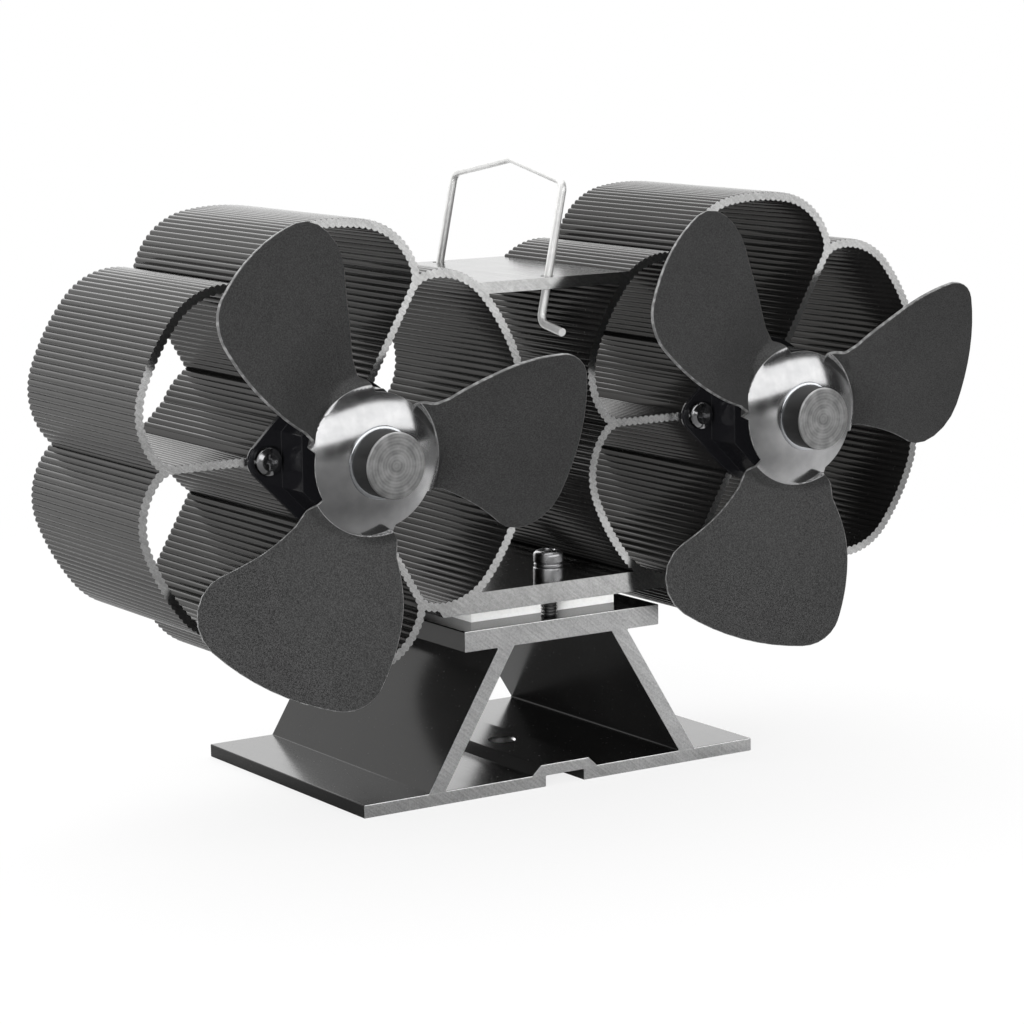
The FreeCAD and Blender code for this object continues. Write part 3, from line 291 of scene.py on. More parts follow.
stand_sawn = sawn("stand_sawn", shade=(0.84, 0.84, 0.84), gloss=0.3, marks_deep=0.00003)
stand = add_piece("stand", stand_mesh, "frame", [stand_black, stand_sawn], "base_stand")
drill(stand, [(0, hole_y)], hole_radius, -drill_past, channel_top + drill_past)
drill(stand, [(0, hole_y)], hole_radius - chamfer_up, channel_top - chamfer_down, channel_top + chamfer_up,
      flare=chamfer_down + chamfer_up)
level(stand)


def grainy(name, shade, grain, rough, depth):
    """An even colour with a fine grain, for ceramic, rubber, moulded and sintered pieces."""
    material, tone, sockets = finish(name)
    speck = tone.noise(tone.place(), scale=grain, detail=4)
    cloud = tone.noise(tone.place(), scale=grain / 12, detail=3)
    dark = tuple(0.86 * c for c in shade)
    tone.plug(sockets["Base Color"], (speck * 0.5 + cloud * 0.5).step(0.25, 0.65).blend(dark, shade))
    tone.plug(sockets["Roughness"], rough + speck * 0.1)
    tone.plug(sockets["Normal"], tone.bump(speck, distance=depth, strength=0.5))
    return material


def coat(name, material):
    """A node of the frame that keeps its shape and gets a finish of its own."""
    mesh = nodes[name].data
    mesh.materials.clear()
    mesh.materials.append(material)


alumina = grainy("module_alumina", (0.95, 0.95, 0.945), grain=2500, rough=0.45, depth=0.00001)
silicone = grainy("module_silicone", (0.95, 0.95, 0.94), grain=900, rough=0.5, depth=0.00004)
pellet_grey = grainy("module_pellet_grey", (0.1, 0.1, 0.11), grain=3000, rough=0.5, depth=0.00001)
coat("module_hot_plate", alumina)
coat("module_cold_plate", alumina)
coat("module_edge_seal", silicone)
coat("module_pellets", pellet_grey)

# Heat sink
# One black anodised extrusion of two six-petal flowers with a motor ring in each, joined by a thin
# bridge above and a thick one below. All petal walls and spokes carry fine ribs along their length.
sink_low, sink_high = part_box("heat_sink")
left_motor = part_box("left_motor_can")
axis_half = -(left_motor[0].x + left_motor[1].x) / 2
axis_high = (left_motor[0].z + left_motor[1].z) / 2
petal_radius, petal_corner, valley_radius = 0.0515, 0.0167, 0.0441
petal_wall, spoke_half, junction = 0.0022, 0.001, 0.005
ring_radius, ring_bore = 0.0172, 0.0148
port_pitch, port_radius = 0.0187, 0.003
low_bridge_under, low_bridge_thick, low_bridge_lap = 0.04275, 0.0047, 0.0066
high_bridge_lift, high_bridge_thick = 0.01015, 0.00262
toe_back, toe_slope, toe_rise = 0.00105, 0.0002, 0.00006
rib_pitch, rib_deep, rib_steps = 0.0015, 0.0004, 6
rib_crease, plain_step = 50, 0.0006
clamp_head, clamp_hole = 0.0035, 0.0022
handle_inset, handle_hole = 0.0032, 0.00155
reach = petal_radius - petal_corner
turn = math.acos((reach ** 2 + valley_radius ** 2 - petal_corner ** 2) / (2 * reach * valley_radius))
sixth = math.radians(60)


def polar(length, angle):
    """A point at a distance and angle from the origin."""
    return Vector((math.cos(angle), math.sin(angle))) * length


def heading(way):
    """The angle at which a vector points."""
    return math.atan2(way.y, way.x)


def arc(centre, radius, start, end, ribbed=True):
    """Points along an arc, with ribs sunk into the metal on its outer or inner side."""
    count = max(2, round(abs(end - start) * radius / (rib_pitch if ribbed else plain_step)))
    steps = count * (rib_steps if ribbed else 1)
    points = []
    for i in range(steps + 1):
        sunk = rib_deep * (1 - abs(math.sin(math.pi * i / rib_steps))) if ribbed else 0
        angle = start + (end - start) * i / steps
        points.append(centre + polar(radius + (sunk if ribbed == "inner" else -sunk), angle))
    return points


def run(first, last):
    """Points along a straight stretch, with ribs sunk to its right."""
    way = last - first
    count = max(1, round(way.length / rib_pitch))
    right = Vector((way.y, -way.x)).normalized()
    points = []
    for i in range(count * rib_steps + 1):
        sunk = rib_deep * (1 - abs(math.sin(math.pi * i / rib_steps)))
        points.append(first.lerp(last, i / (count * rib_steps)) + right * sunk)
    return points


def petal_side(valley, upper):
    """The outer edge of half a petal from its valley: the corner arc, as centre and angles."""
    sign = 1 if upper else -1
    middle = polar(reach, valley + sign * turn)
    start = polar(valley_radius, valley) - middle
    return middle, heading(start), valley + sign * turn


def petal_edge(index):
    """The outer edge of one petal, from its first valley to its next, turning left."""
    first, last = index * sixth, (index + 1) * sixth
    near, near_start, near_end = petal_side(first, True)
    far, far_end, far_start = petal_side(last, False)
    near_start = near_end - (near_end - near_start) % (2 * math.pi)
    far_end = far_start + (far_end - far_start) % (2 * math.pi)
    crown = arc(Vector((0, 0)), petal_radius, near_end, far_start)
    return (arc(near, petal_corner, near_start, near_end) + crown
            + arc(far, petal_corner, far_start, far_end))


def ring_end(port):
    """Where a petal's hollow leaves the motor ring, at a plain spoke or at the flank of a screw port."""
    if not port:
        return Vector((math.sqrt(ring_radius ** 2 - spoke_half ** 2), spoke_half))
    total = port_pitch + port_radius * math.sqrt(2)
    aside = (total - math.sqrt(2 * ring_radius ** 2 - total ** 2)) / 2
    return Vector((total - aside, aside))


def half_cell(port):
    """Half the hollow of a petal: a spoke, plain or with a screw port, and the wall to the crown."""
    inner_corner = petal_corner - petal_wall
    along, across = reach * math.cos(turn), reach * math.sin(turn)
    aside = spoke_half + junction
    out = along + math.sqrt((inner_corner - junction) ** 2 - (aside - across) ** 2)
    lean = math.atan2(aside - across, out - along)
    if port:
        middle = Vector((port_pitch, 0))
        bow = math.asin(spoke_half / port_radius)
        points = run(ring_end(port), middle + polar(port_radius, math.pi / 4))
        points += arc(middle, port_radius, math.pi / 4, bow, False)
    else:
        points = [ring_end(port)]
    points += run(points[-1], Vector((out, spoke_half)))
    points += arc(Vector((out, aside)), junction, -math.pi / 2, lean, "inner")
    return points + arc(polar(reach, turn), inner_corner, lean, turn, "inner")


def petal_cell(index, first_port, last_port):
    """The hollow of one petal: two spokes, the petal wall and the motor ring."""
    across = Matrix(((math.cos(sixth), math.sin(sixth)), (math.sin(sixth), -math.cos(sixth))))
    crown = arc(Vector((0, 0)), petal_radius - petal_wall, turn, sixth - turn, "inner")
    back = [across @ p for p in reversed(half_cell(last_port))]
    first, last = heading(ring_end(first_port)), heading(ring_end(last_port))
    ring = arc(Vector((0, 0)), ring_radius, sixth - last, first)
    spin = Matrix.Rotation(index * sixth, 2)
    return [spin @ p for p in half_cell(first_port) + crown + back + ring]


left_axis = Vector((-axis_half, axis_high))
mirror = Matrix(((-1, 0), (0, 1)))
corner_at = polar(reach, sixth - turn)
toe_under = left_axis.x + corner_at.x
toe_end, bridge_foot = toe_under - toe_back, toe_under + low_bridge_lap
low_top = low_bridge_under + low_bridge_thick
high_under = axis_high + corner_at.y + high_bridge_lift
high_top = high_under + high_bridge_thick
rim = [left_axis + p for k in range(6) for p in petal_edge(k)]
petal_points = len(petal_edge(0))
upper_right = rim[:petal_points]
lower_right = rim[5 * petal_points:]
outer_start = next(i for i, p in enumerate(upper_right) if p.y > high_top)
outer_end = 5 * petal_points + next(i for i, p in enumerate(lower_right) if p.x > toe_end)
left_outside = [Vector((rim[outer_start].x, high_top))] + rim[outer_start:outer_end]
left_outside.append(Vector((toe_under - toe_slope, low_bridge_under + toe_rise)))
left_outside.append(Vector((toe_under, low_bridge_under)))
sink_outside = left_outside + [mirror @ p for p in reversed(left_outside)]
gap_low = next(i for i, p in enumerate(lower_right) if p.y > low_top and p.x > bridge_foot)
gap_high = next(i for i, p in enumerate(upper_right) if p.y > high_under)
left_gap = lower_right[gap_low:] + upper_right[:gap_high]
left_gap = [Vector((left_gap[0].x, low_top))] + left_gap + [Vector((left_gap[-1].x, high_under))]
sink_gap = left_gap + [mirror @ p for p in reversed(left_gap)]
loops = [sink_outside, sink_gap]
for k in range(6):
    cell = [left_axis + p for p in petal_cell(k, k in (0, 3), k in (2, 5))]
    loops += [cell, [mirror @ p for p in cell]]
bore = arc(left_axis, ring_bore, 0, 2 * math.pi, False)[:-1]
loops += [bore, [mirror @ p for p in bore]]
sink_mesh = extrusion("sink", loops, sink_low.y, sink_high.y, crease=rib_crease)
sink_black = anodised("sink_black", tint=(1.0, 0.975, 0.93), ior=1.42, gloss=0.06, lines=0.6)
# The hollows of the petals get a copy of the black with a lower IOR and a warmer tint, so they mirror
# less: painted shade in the recesses.
sink_inside_painted_shade = anodised("sink_inside_painted_shade", tint=(1.0, 0.96, 0.9), ior=1.32, gloss=0.08, lines=0.25)
sink_sawn = sawn("sink_sawn", shade=(0.72, 0.72, 0.715), gloss=0.09, marks_deep=0.000015)
sink_finishes = [sink_black, sink_sawn, sink_inside_painted_shade]
# Faces of the hollows, facing inwards or lying inside the valleys, get the painted shade.
for face in sink_mesh.polygons:
    away = Vector((abs(face.center.x), face.center.z)) - Vector((axis_half, axis_high))
    outward = Vector((face.normal.x * math.copysign(1, face.center.x), face.normal.z)).dot(away)
    if face.material_index == 0 and (outward < 0 or away.length < valley_radius - petal_wall):
        face.material_index = sink_finishes.index(sink_inside_painted_shade)
sink = add_piece("sink", sink_mesh, "frame", sink_finishes, "heat_sink")
clamp_low, clamp_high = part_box("clamp_screws")
clamp_places = [(0, clamp_low.y + clamp_head), (0, clamp_high.y - clamp_head)]
drill(sink, clamp_places, clamp_hole, low_bridge_under - drill_past, low_top + drill_past,
      crease=rib_crease)
handle_places = [(0, sink_low.y + handle_inset), (0, sink_high.y - handle_inset)]
drill(sink, handle_places, handle_hole, high_under - drill_past, high_top + drill_past,
      crease=rib_crease)


# Clamp hardware
# Front and rear socket screws pull the heat sink down on the module. Under each head lie a split
# spring washer and a turned bush, all of steel with a bright plate.
def plated(name, shade, gloss, metallic=1.0):
    """Bright plate on steel, with faint smears in its gloss."""
    material, tone, sockets = finish(name, metallic=metallic)
    smear = tone.noise(tone.place(), scale=700, detail=4)
    dark = tuple(0.7 * c for c in shade)
    tone.plug(sockets["Base Color"], smear.blend(dark, shade))
    tone.plug(sockets["Roughness"], gloss + smear * 0.1)
    return material


def lathe(name, profile, zones, segments=72, crease=30):
    """A turned mesh about the y axis: radius and depth pairs, with a finish for each stretch."""
    work = bmesh.new()
    rings = []
    for radius, depth in profile:
        if radius == 0:
            rings.append([work.verts.new((0, depth, 0))] * (segments + 1))
            continue
        ring = [work.verts.new((radius * math.cos(a), depth, radius * math.sin(a)))
                for a in (2 * math.pi * i / segments for i in range(segments))]
        rings.append(ring + ring[:1])
    for one, two, zone in zip(rings, rings[1:], zones):
        for i in range(segments):
            face = work.faces.new(list(dict.fromkeys((one[i], one[i + 1], two[i + 1], two[i]))))
            face.material_index = zone
            face.smooth = True
    bmesh.ops.recalc_face_normals(work, faces=work.faces)
    mesh = bpy.data.meshes.new(name)
    work.to_mesh(mesh)
    work.free()
    mesh.set_sharp_from_angle(angle=math.radians(crease))
    return mesh


def round_over(radius, high, turn_radius, steps=5):
    """The corner of a turned piece rounded over, from its top outwards and down its side."""
    return [(radius - turn_radius * (1 - math.sin(a)), high - turn_radius * (1 - math.cos(a)))
            for a in (math.pi / 2 * i / steps for i in range(steps + 1))]


def clamp_set(name, node, profile, zones, materials, crease=40):
    """The front and rear pieces of the clamp, turned about upright axes."""
    both = bmesh.new()
    for x, y in clamp_places:
        turned = lathe(name, profile, zones)
        turned.transform(Matrix.Translation((x, y, 0)) @ Matrix.Rotation(math.pi / 2, 4, "X"))
        both.from_mesh(turned)
    mesh = bpy.data.meshes.new(name)
    both.to_mesh(mesh)
    both.free()
    mesh.set_sharp_from_angle(angle=math.radians(crease))
    add_piece(name, mesh, "frame", materials, node)


steel_dark = plated("screw_steel", (0.62, 0.62, 0.63), gloss=0.24)
# The thread is a darker grey than the head of the same screws: painted shade, where it stands in the gap
# under the bridge.
thread_painted_shade = plated("screw_thread", (0.42, 0.42, 0.42), gloss=0.26)
shank_radius, thread_deep, thread_pitch, first_crest = 0.00195, 0.00032, 0.0007, 0.6
head_round, head_edge = 0.0013, 0.0003
socket_radius, socket_deep, socket_edge = 0.00144, 0.0016, 0.0002
washer_radius, washer_round, bore_gap = 0.0034, 0.0004, 0.0002
bore_radius = shank_radius + bore_gap
bush_foot, bush_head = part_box("clamp_bushes")
washer_foot, washer_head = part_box("clamp_spring_washers")
bush_radius = bush_head.x
head_foot, head_top = washer_head.z, clamp_high.z
screw_profile = [
    (0, head_top - socket_deep), (socket_radius, head_top - socket_deep),
    (socket_radius, head_top - socket_edge), (socket_radius + socket_edge, head_top)]
screw_profile += round_over(clamp_head, head_top, head_round)
screw_profile += [
    (clamp_head, head_foot + head_edge), (clamp_head - head_edge, head_foot), (shank_radius, head_foot)]
thread_start = len(screw_profile)
turns = int((head_foot - clamp_low.z) / thread_pitch)
for k in range(turns):
    crest = head_foot - thread_pitch * (k + first_crest)
    screw_profile += [(shank_radius, crest), (shank_radius - thread_deep, crest - thread_pitch / 2)]
screw_profile += [(shank_radius - thread_deep, clamp_low.z), (0, clamp_low.z)]
screw_zones = [int(i >= thread_start) for i in range(len(screw_profile) - 1)]
clamp_set("clamp_screw_pair", "clamp_screws", screw_profile, screw_zones, [steel_dark, thread_painted_shade])
washer_profile = [(bore_radius, washer_head.z)]
washer_profile += round_over(washer_radius, washer_head.z, washer_round, 3)
washer_profile += [(r, washer_foot.z + washer_head.z - z) for r, z in reversed(washer_profile[1:])]
washer_profile += [(bore_radius, washer_foot.z), (bore_radius, washer_head.z)]
bush_profile = [(bore_radius, bush_head.z)] + round_over(bush_radius, bush_head.z, washer_round, 3)
bush_profile += [(bush_radius, bush_foot.z), (bore_radius, bush_foot.z), (bore_radius, bush_head.z)]
for pair, node, profile in (("clamp_washer_pair", "clamp_spring_washers", washer_profile),
                            ("clamp_bush_pair", "clamp_bushes", bush_profile)):
    clamp_set(pair, node, profile, [0] * (len(profile) - 1), [steel_dark])

# Motor holders
# Eight-sided cups of gloss black plastic on a flange with two ears. Each is fixed to the ports on
# the spokes by two plated pan-head screws with a cross recess.
holder_black = grainy("holder_black", (0.006, 0.006, 0.007), grain=1500, rough=0.08, depth=0.000004)
fix_steel = plated("fix_steel", (0.55, 0.55, 0.56), gloss=0.12)
weld_within, holder_edge, fix_edge = 0.00001, 0.00016, 0.0001
for side in ("left", "right"):
    coat(side + "_motor_holder", holder_black)
    coat(side + "_holder_screws", fix_steel)
    for node, edge in (("_motor_holder", holder_edge), ("_holder_screws", fix_edge)):
        weld = nodes[side + node].modifiers.new("weld", "WELD")
        weld.merge_threshold = weld_within
        soft = nodes[side + node].modifiers.new("edge", "BEVEL")
        soft.width = edge
        soft.segments = 2
        soft.angle_limit = math.radians(28)
        soft.harden_normals = True

# Motors
# Small brushed motors: a zinc-plated drawn can with a moulded end cap, bronze bushes, ferrite
# magnets and a slotted core with enamelled copper turns. They show from the rear, in the rings.
can_zinc = plated("motor_zinc", (0.6, 0.6, 0.58), gloss=0.3)
cap_moulded = grainy("motor_moulded", (0.03, 0.03, 0.032), grain=1200, rough=0.45, depth=0.00002)
bronze = plated("motor_bronze", (0.6, 0.42, 0.2), gloss=0.35)
ferrite = grainy("motor_ferrite", (0.07, 0.07, 0.075), grain=2500, rough=0.6, depth=0.00002)
copper = plated("motor_copper", (0.65, 0.3, 0.16), gloss=0.3)
motor_finishes = {
    "motor_can": can_zinc, "motor_end_cap": cap_moulded, "motor_bushes": bronze, "motor_magnets": ferrite,
    "motor_brushes": bronze, "motor_terminals": bronze, "motor_shaft": can_zinc, "armature_core": can_zinc,
    "windings": copper, "commutator": copper}
for side in ("left", "right"):
    for piece_name, material in motor_finishes.items():
        coat("%s_%s" % (side, piece_name), material)

# Rotors
# Hub disc and three blades are stamped from one aluminium sheet. The disc is dished and polished, the
# blades are twisted at their roots and sprayed matt black. A turned boss holds it on the motor shaft.
sheet_thick, sheet_edge = 0.0008, 0.00022
disc_radius, disc_bore, disc_chord, twist_end = 0.015, 0.006, 0.0115, 0.0185
rim_slope, dish_level, dish_power = 0.5, 0.0094, 2.5
paint_start, paint_blur = 0.0164, 0.0002
settle_end = 0.034
blade_pitch = math.radians(22)
root_lead, root_trail, tip_radius = 0.0108, 0.0124, 0.0544
lead_corner, lead_aim, lead_bow = 0.009, math.radians(7.6), 0.045
trail_corner, trail_aim, trail_bow = 0.010, math.radians(-24.4), 0.080
hub_level = -0.0523
rotor_turn = {"left": math.radians(8.6), "right": math.radians(20.1)}
rotor_axis = {"left": -axis_half, "right": axis_half}
corner_steps, tip_steps, rim_steps, disc_rings = 6, 8, 12, 8
rows, twist_rows, columns = 22, 14, 2 * corner_steps + tip_steps


def meet(a, reach_a, b, reach_b):
    """The point at two given distances from two points, on the right of the way between them."""
    span = (b - a).length
    ahead = (reach_a ** 2 - reach_b ** 2 + span ** 2) / (2 * span)
    unit = (b - a) / span
    return a + unit * ahead + Vector((unit.y, -unit.x)) * math.sqrt(reach_a ** 2 - ahead ** 2)


def sweep(centre, radius, start, end, count):
    """Points along a plain arc."""
    return [centre + polar(radius, start + (end - start) * i / count) for i in range(count + 1)]


def smooth(value, low, high):
    """0 below low, 1 above high and a soft rise between."""
    part = min(1.0, max(0.0, (value - low) / (high - low)))
    return part * part * (3 - 2 * part)


def dish(radius):
    """How far the dished disc, and the blade roots after it, lie behind the middle of the sheet."""
    held = min(radius, paint_start)
    steep = rim_slope / dish_power / disc_radius ** (dish_power - 1)
    fall = (held ** dish_power - dish_level ** dish_power) * steep
    return fall * (1 - smooth(radius, disc_radius, settle_end))


def paddle_point(along, across):
    """A point of the flat paddle, from its root to its tip and from its leading to its trailing edge."""
    row, column = round(along * rows), round(across * columns)
    root = lead_root.lerp(trail_root, across)
    corners = (lead_root * ((1 - along) * (1 - across)) + trail_root * ((1 - along) * across)
               + tip_edge[0] * (along * (1 - across)) + tip_edge[-1] * (along * across))
    return lead_edge[row].lerp(trail_edge[row], across) + root.lerp(tip_edge[column], along) - corners


def blade_point(row, column):
    """A point of the sheet's middle, from the chord of the disc through the twisted root to the tip."""
    across = column / columns
    if row > twist_rows:
        x, aside = paddle_point((row - twist_rows) / rows, across)
    else:
        along = row / twist_rows
        x = disc_chord + (twist_end - disc_chord) * along
        half = math.sqrt(disc_radius ** 2 - disc_chord ** 2)
        root = root_lead - (root_lead + root_trail) * across
        aside = (half - 2 * half * across) * (1 - along) + root * along
    out = math.hypot(x, aside)
    pitch = blade_pitch * smooth(out, paint_start - paint_blur, twist_end)
    return Vector((x, dish(out) - aside * math.sin(pitch), aside * math.cos(pitch)))


def from_axis(tone):
    """The distance from the rotor's axis, over the surface of a rotor or boss."""
    x, _, z = tone.parts(tone.place())
    return (x * x + z * z) ** 0.5


lead_root, trail_root = Vector((twist_end, root_lead)), Vector((twist_end, -root_trail))
high, low = polar(tip_radius - lead_corner, lead_aim), polar(tip_radius - trail_corner, trail_aim)
lead_middle = meet(lead_root, lead_bow, high, lead_bow - lead_corner)
lead_touch = high + (high - lead_middle) * (lead_corner / (lead_bow - lead_corner))
trail_middle = meet(trail_root, trail_bow, low, trail_bow + trail_corner)
trail_touch = low + (trail_middle - low) * (trail_corner / (trail_bow + trail_corner))
lead_edge = sweep(lead_middle, lead_bow, heading(lead_root - lead_middle),
                  heading(lead_touch - lead_middle), rows)
trail_edge = sweep(trail_middle, trail_bow, heading(trail_root - trail_middle) % (2 * math.pi),
                   heading(trail_touch - trail_middle) % (2 * math.pi), rows)
tip_edge = (sweep(high, lead_corner, heading(lead_touch - high), lead_aim, corner_steps)
            + sweep(Vector((0, 0)), tip_radius, lead_aim, trail_aim, tip_steps)[1:]
            + sweep(low, trail_corner, trail_aim, heading(trail_touch - low), corner_steps)[1:])

rotor_work = bmesh.new()
for k in range(3):
    spin = Matrix.Rotation(-k * 2 * math.pi / 3, 3, "Y")
    grid = [[rotor_work.verts.new(spin @ blade_point(i, j)) for j in range(columns + 1)]
            for i in range(twist_rows + rows + 1)]
    for i in range(twist_rows + rows):
        for j in range(columns):
            rotor_work.faces.new((grid[i][j], grid[i + 1][j], grid[i + 1][j + 1], grid[i][j + 1]))
    chord_end = math.acos(disc_chord / disc_radius)
    edge = [Vector((p.x, p.z)) for p in (blade_point(0, j) for j in reversed(range(columns + 1)))]
    edge += sweep(Vector((0, 0)), disc_radius, chord_end, 2 * math.pi / 3 - chord_end, rim_steps)[1:]
    rings = []
    for i in range(disc_rings + 1):
        ring = []
        for p in edge:
            q = (p.normalized() * disc_bore).lerp(p, i / disc_rings)
            ring.append(rotor_work.verts.new(spin @ Vector((q.x, dish(q.length), q.y))))
        rings.append(ring)
    for one, two in zip(rings, rings[1:]):
        for j in range(len(edge) - 1):
            rotor_work.faces.new((one[j], two[j], two[j + 1], one[j + 1]))
bmesh.ops.remove_doubles(rotor_work, verts=rotor_work.verts, dist=1e-6)
bmesh.ops.recalc_face_normals(rotor_work, faces=rotor_work.faces)
for face in rotor_work.faces:
    face.smooth = True
rotor_mesh = bpy.data.meshes.new("rotor")
rotor_work.to_mesh(rotor_mesh)
rotor_work.free()

blade_matt, tone, sockets = finish("blade_matt", specular_ior_level=0.4)
painted = from_axis(tone).step(paint_start, paint_start + paint_blur)
grain = tone.noise(tone.place(), scale=3600, detail=3, rough=0.7)
cloud = tone.noise(tone.place(), scale=45, detail=4)
smear = tone.noise(tone.place(), scale=260, detail=4)
speckle = grain.step(0.32, 0.68) * 0.8 + cloud * 0.2
paint = speckle.blend((0.0025, 0.0025, 0.0025), (0.05, 0.05, 0.05))
metal = smear.blend((0.4, 0.4, 0.41), (0.71, 0.71, 0.71))
tone.plug(sockets["Base Color"], painted.blend(metal, paint))
tone.plug(sockets["Metallic"], 1 - painted)
tone.plug(sockets["Roughness"], 0.08 + smear * 0.12 + painted * (0.42 + grain * 0.12))
tone.plug(sockets["Normal"], tone.bump(grain * painted, distance=0.00005, strength=0.8))
# The rim and rounded edges of the blade sheet are lighter grey: rubbed paint and a painted highlight along
# every edge.
edge_wear_and_highlight, tone, sockets = finish("blade_edge", specular_ior_level=0.5)
rub_and_highlight = tone.noise(tone.place(), scale=700, detail=4).step(0.42, 0.62)
tone.plug(sockets["Base Color"], rub_and_highlight.blend((0.075, 0.075, 0.075), (0.165, 0.165, 0.165)))
tone.plug(sockets["Roughness"], 0.45 - rub_and_highlight * 0.1)
rotor_mesh.materials.append(blade_matt)
rotor_mesh.materials.append(edge_wear_and_highlight)

boss_face, tone, sockets = finish("boss_face", metallic=1.0)
out = from_axis(tone)
fine_rings, broad_rings = 9000, 3700
tool_rings = (out * fine_rings).sine() * 0.5 + (out * broad_rings).sine() * 0.5
wipe = tone.noise(tone.place(), scale=400, detail=4)
turned = (wipe * 0.8 + (tool_rings * 0.5 + 0.5) * 0.2).step(0.25, 0.75)
tone.plug(sockets["Base Color"], turned.blend((0.3, 0.3, 0.3), (0.57, 0.57, 0.57)))
tone.plug(sockets["Roughness"], 0.3 + wipe * 0.12)
tone.plug(sockets["Normal"], tone.bump(tool_rings, distance=0.00002, strength=0.5))
boss_black, tone, sockets = finish("boss_black")
wipe = tone.noise(tone.place(scale=(1, 0.2, 1)), scale=500, detail=3)
tone.plug(sockets["Base Color"], wipe.blend((0.006, 0.006, 0.006), (0.016, 0.016, 0.016)))
tone.plug(sockets["Roughness"], 0.36 + wipe * 0.12)
boss_ring = plated("boss_ring", (0.8, 0.82, 0.85), gloss=0.08)
boss_low, boss_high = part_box("left_hub_boss")
boss_radius = (boss_high.x - boss_low.x) / 2
boss_round, base_lip, base_high = 0.0004, 0.0008, 0.0005
boss_face_at, boss_back_at = boss_low.y - hub_level, boss_high.y - hub_level
base_radius = boss_radius + base_lip
base_at = dish(base_radius) - sheet_thick / 2
base_ring = [(-0.0003, 0.00045), (-0.0001, 0.00035), (0.0, 0.0)]
collar_radius, shaft_hole = 0.005, 0.00105
boss_profile = [(0.0, boss_face_at), (boss_radius / 3, boss_face_at), (boss_radius / 1.5, boss_face_at)]
boss_profile += [(r, -h) for r, h in round_over(boss_radius, -boss_face_at, boss_round, 4)]
boss_profile.append((boss_radius, base_at - base_high))
boss_profile += [(base_radius + wide, base_at - up) for wide, up in base_ring]
boss_profile += [(collar_radius, base_at), (collar_radius, boss_back_at), (shaft_hole, boss_back_at)]
# Along the profile: the bare face, the black side, the bright ring and the black collar
boss_zones = [0] * 7 + [1] + [2] * 3 + [1] * 3
boss_mesh = lathe("boss", boss_profile, boss_zones)
for material in (boss_face, boss_black, boss_ring):
    boss_mesh.materials.append(material)
rotor_pieces = [
    ("rotor", rotor_mesh, "blade_black", "fan_blades"),
    ("boss", boss_mesh, "boss_bright", "hub_boss")]
for side in ("left", "right"):
    for piece_name, drawn, slot, node in rotor_pieces:
        mesh = drawn.copy()
        mesh.transform(Matrix.Rotation(-rotor_turn[side], 4, "Y"))
        piece = bpy.data.objects.new("%s_%s" % (side, piece_name), mesh)
        piece.location = (rotor_axis[side], hub_level, axis_high)
        bpy.context.scene.collection.objects.link(piece)
        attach(piece, side + "_fan")
        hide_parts("%s_%s" % (side, node))
        if piece_name == "rotor":
            thick = piece.modifiers.new("sheet", "SOLIDIFY")
            thick.thickness = sheet_thick
            thick.offset = 0.0
            # The rim and the rounded edges take the second finish, with its painted edge highlight.
            thick.material_offset_rim = 1
            soft = piece.modifiers.new("edge", "BEVEL")
            soft.width = sheet_edge
            soft.segments = 2
            soft.material = 1
            soft.angle_limit = math.radians(50)
            soft.harden_normals = True

# Carry handle
# One length of polished stainless wire, bent to a house shape, its legs through two holes in the
# upper bridge and its feet turned outwards underneath so that it can't pull out.
# The wire is only partly metallic, so its pale colour also shows as a lit diffuse white: a painted
# reflection of bright surroundings on the polished wire.
coat("carry_handle", plated("handle_stainless", (0.86, 0.86, 0.85), gloss=0.26, metallic=0.7))

# Studio
# A pale floor that runs to a white background, soft lights above and at the right front, a fill at
# the left, and a camera at the left front. What metal mirrors of the floor is painted from dark shade to
# pale light.
floor_mesh = bpy.data.meshes.new("floor")
floor_work = bmesh.new()
bmesh.ops.create_circle(floor_work, cap_ends=True, segments=96, radius=4.0)
floor_work.to_mesh(floor_mesh)
floor_work.free()
floor = bpy.data.objects.new("floor", floor_mesh)
bpy.context.scene.collection.objects.link(floor)
floor_pale, tone, sockets = finish("floor_pale", roughness=0.9)
floor_x, floor_y, _ = tone.parts(tone.place())
rays = tone.node("LightPath").socket.node.outputs
seen = Tone(tone.tree, rays["Is Camera Ray"])
reflected = Tone(tone.tree, rays["Is Glossy Ray"])
# Rays from the object find the floor painted dark, as in shade, and painted paler, as if lit, to the
# right, behind and close ahead
rear = floor_y.step(-0.06, 0.14)
aside = floor_x.step(0.16, 0.34) * floor_y.step(-0.5, -0.3)
band = floor_y.step(-0.95, -0.7) * (1 - floor_y.step(-0.42, -0.3))
dim = band * (0.62 + floor_x.step(0.2, 0.27) * 0.33)
right = floor_x.step(-0.05, 0.42) * (1 - aside) * (1 - dim) * (1 - rear)
ahead = floor_x.step(-0.12, 0.0) * (1 - floor_x.step(0.1, 0.2))
near = floor_y.step(-0.14, -0.06) * ahead * (1 - rear) * 0.46
painted_floor_light = right + rear * 0.76 + near
painted_floor_bounce = painted_floor_light.blend((0.12, 0.12, 0.12), (0.85, 0.85, 0.85))
tone.plug(sockets["Base Color"], seen.blend(painted_floor_bounce, (0.82, 0.82, 0.82)))
distance_squared = floor_x * floor_x + floor_y * floor_y
away = distance_squared.step(0.0, 0.16)
far = distance_squared.step(1.0, 4.0)
glow = tone.node("Emission", {}, {"Color": (1.0, 1.0, 1.0), "Strength": 1.0})
matt = Tone(tone.tree, tone.tree.nodes["Principled BSDF"].outputs[0])
backdrop = reflected * far * floor_y.step(0.0, 0.5)
shown = tone.node("MixShader", {}, {0: seen * (0.82 + away * 0.18) + backdrop, 1: matt, 2: glow})
tone.plug(tone.tree.nodes["Material Output"].inputs["Surface"], shown)
floor_mesh.materials.append(floor_pale)

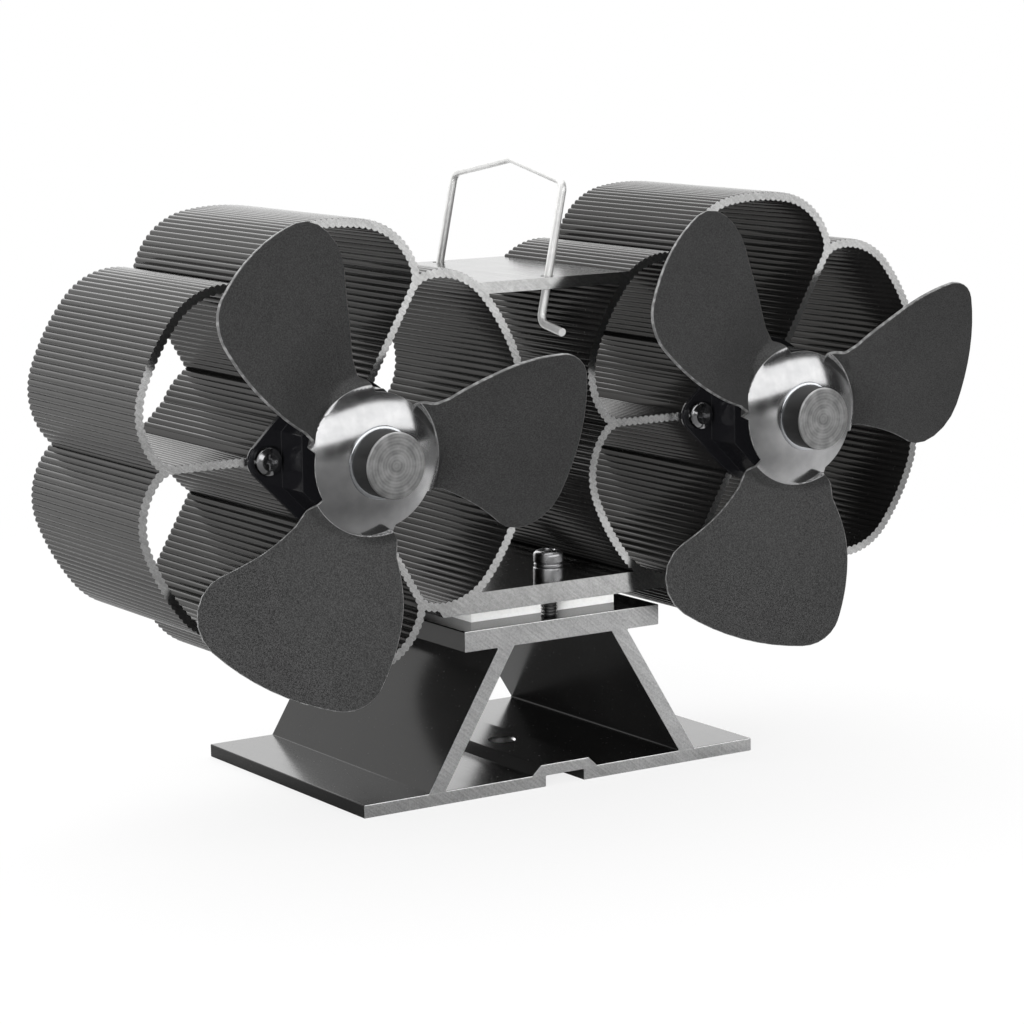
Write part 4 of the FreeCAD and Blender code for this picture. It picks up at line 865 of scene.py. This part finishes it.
world = bpy.data.worlds.new("studio")
world.use_nodes = True
bpy.context.scene.world = world
air = Tone(world.node_tree)
rays = air.node("LightPath").socket.node.outputs
way_x, way_y, way_z = air.parts(air.node("TexCoord", out="Generated"))
# The sky that lights the object is dim at the right front and bright behind
behind = way_y.step(0.1, 0.5)
gap = (way_x * 0.54 - way_y * 0.84).step(0.35, 0.8)
raised = way_z.step(0.05, 0.35) * way_x.step(-0.25, 0.15)
sky_level = 0.04 + (1 - gap) * 0.5 + behind * (0.75 + raised)
lit = air.node("Background", {}, {"Color": (1.0, 1.0, 1.0), "Strength": sky_level})
white = air.node("Background", {}, {"Color": (1.0, 1.0, 1.0), "Strength": 1.0})
sky = air.node("MixShader", {}, {0: Tone(air.tree, rays["Is Camera Ray"]), 1: lit, 2: white})
air.plug(world.node_tree.nodes["World Output"].inputs["Surface"], sky)


def soft_light(name, place, aim, size, power, mirrored=True):
    """A soft box turned to its aim, which polished metal mirrors or, as a plain fill, does not."""
    lamp = bpy.data.lights.new(name, "AREA")
    lamp.shape = "RECTANGLE"
    lamp.size, lamp.size_y = size
    lamp.energy = power
    light = bpy.data.objects.new(name, lamp)
    light.location = place
    light.rotation_mode = "QUATERNION"
    light.rotation_quaternion = (Vector(aim) - Vector(place)).to_track_quat("-Z", "Y")
    light.visible_glossy = mirrored
    bpy.context.scene.collection.objects.link(light)


middle = (0.0, 0.0, 0.07)
soft_light("top_light", (0.0, 0.1, 0.9), middle, size=(2.0, 1.5), power=6.5)
soft_light("right_light", (0.27, -0.98, 0.44), middle, size=(1.9, 0.42), power=3.7)
soft_light("left_light", (-0.9, -0.8, 0.11), middle, size=(0.8, 0.2), power=21, mirrored=False)

camera_data = bpy.data.cameras.new("camera")
camera_data.sensor_width = 36.0
camera_data.lens = 115.2
camera = bpy.data.objects.new("camera", camera_data)
bpy.context.scene.collection.objects.link(camera)
azimuth, elevation, roll = (math.radians(a) for a in (-33.236, 9.52, -0.767))
back = Vector((math.sin(azimuth) * math.cos(elevation), -math.cos(azimuth) * math.cos(elevation),
               math.sin(elevation)))
camera_target, camera_distance = Vector((0.009982, 0.0, 0.058214)), 0.788691
camera.location = camera_target + back * camera_distance
camera.rotation_mode = "QUATERNION"
camera.rotation_quaternion = (-back).to_track_quat("-Z", "Y") @ Quaternion((0, 0, 1), roll)
bpy.context.scene.camera = camera
bpy.context.scene.view_settings.view_transform = "Standard"
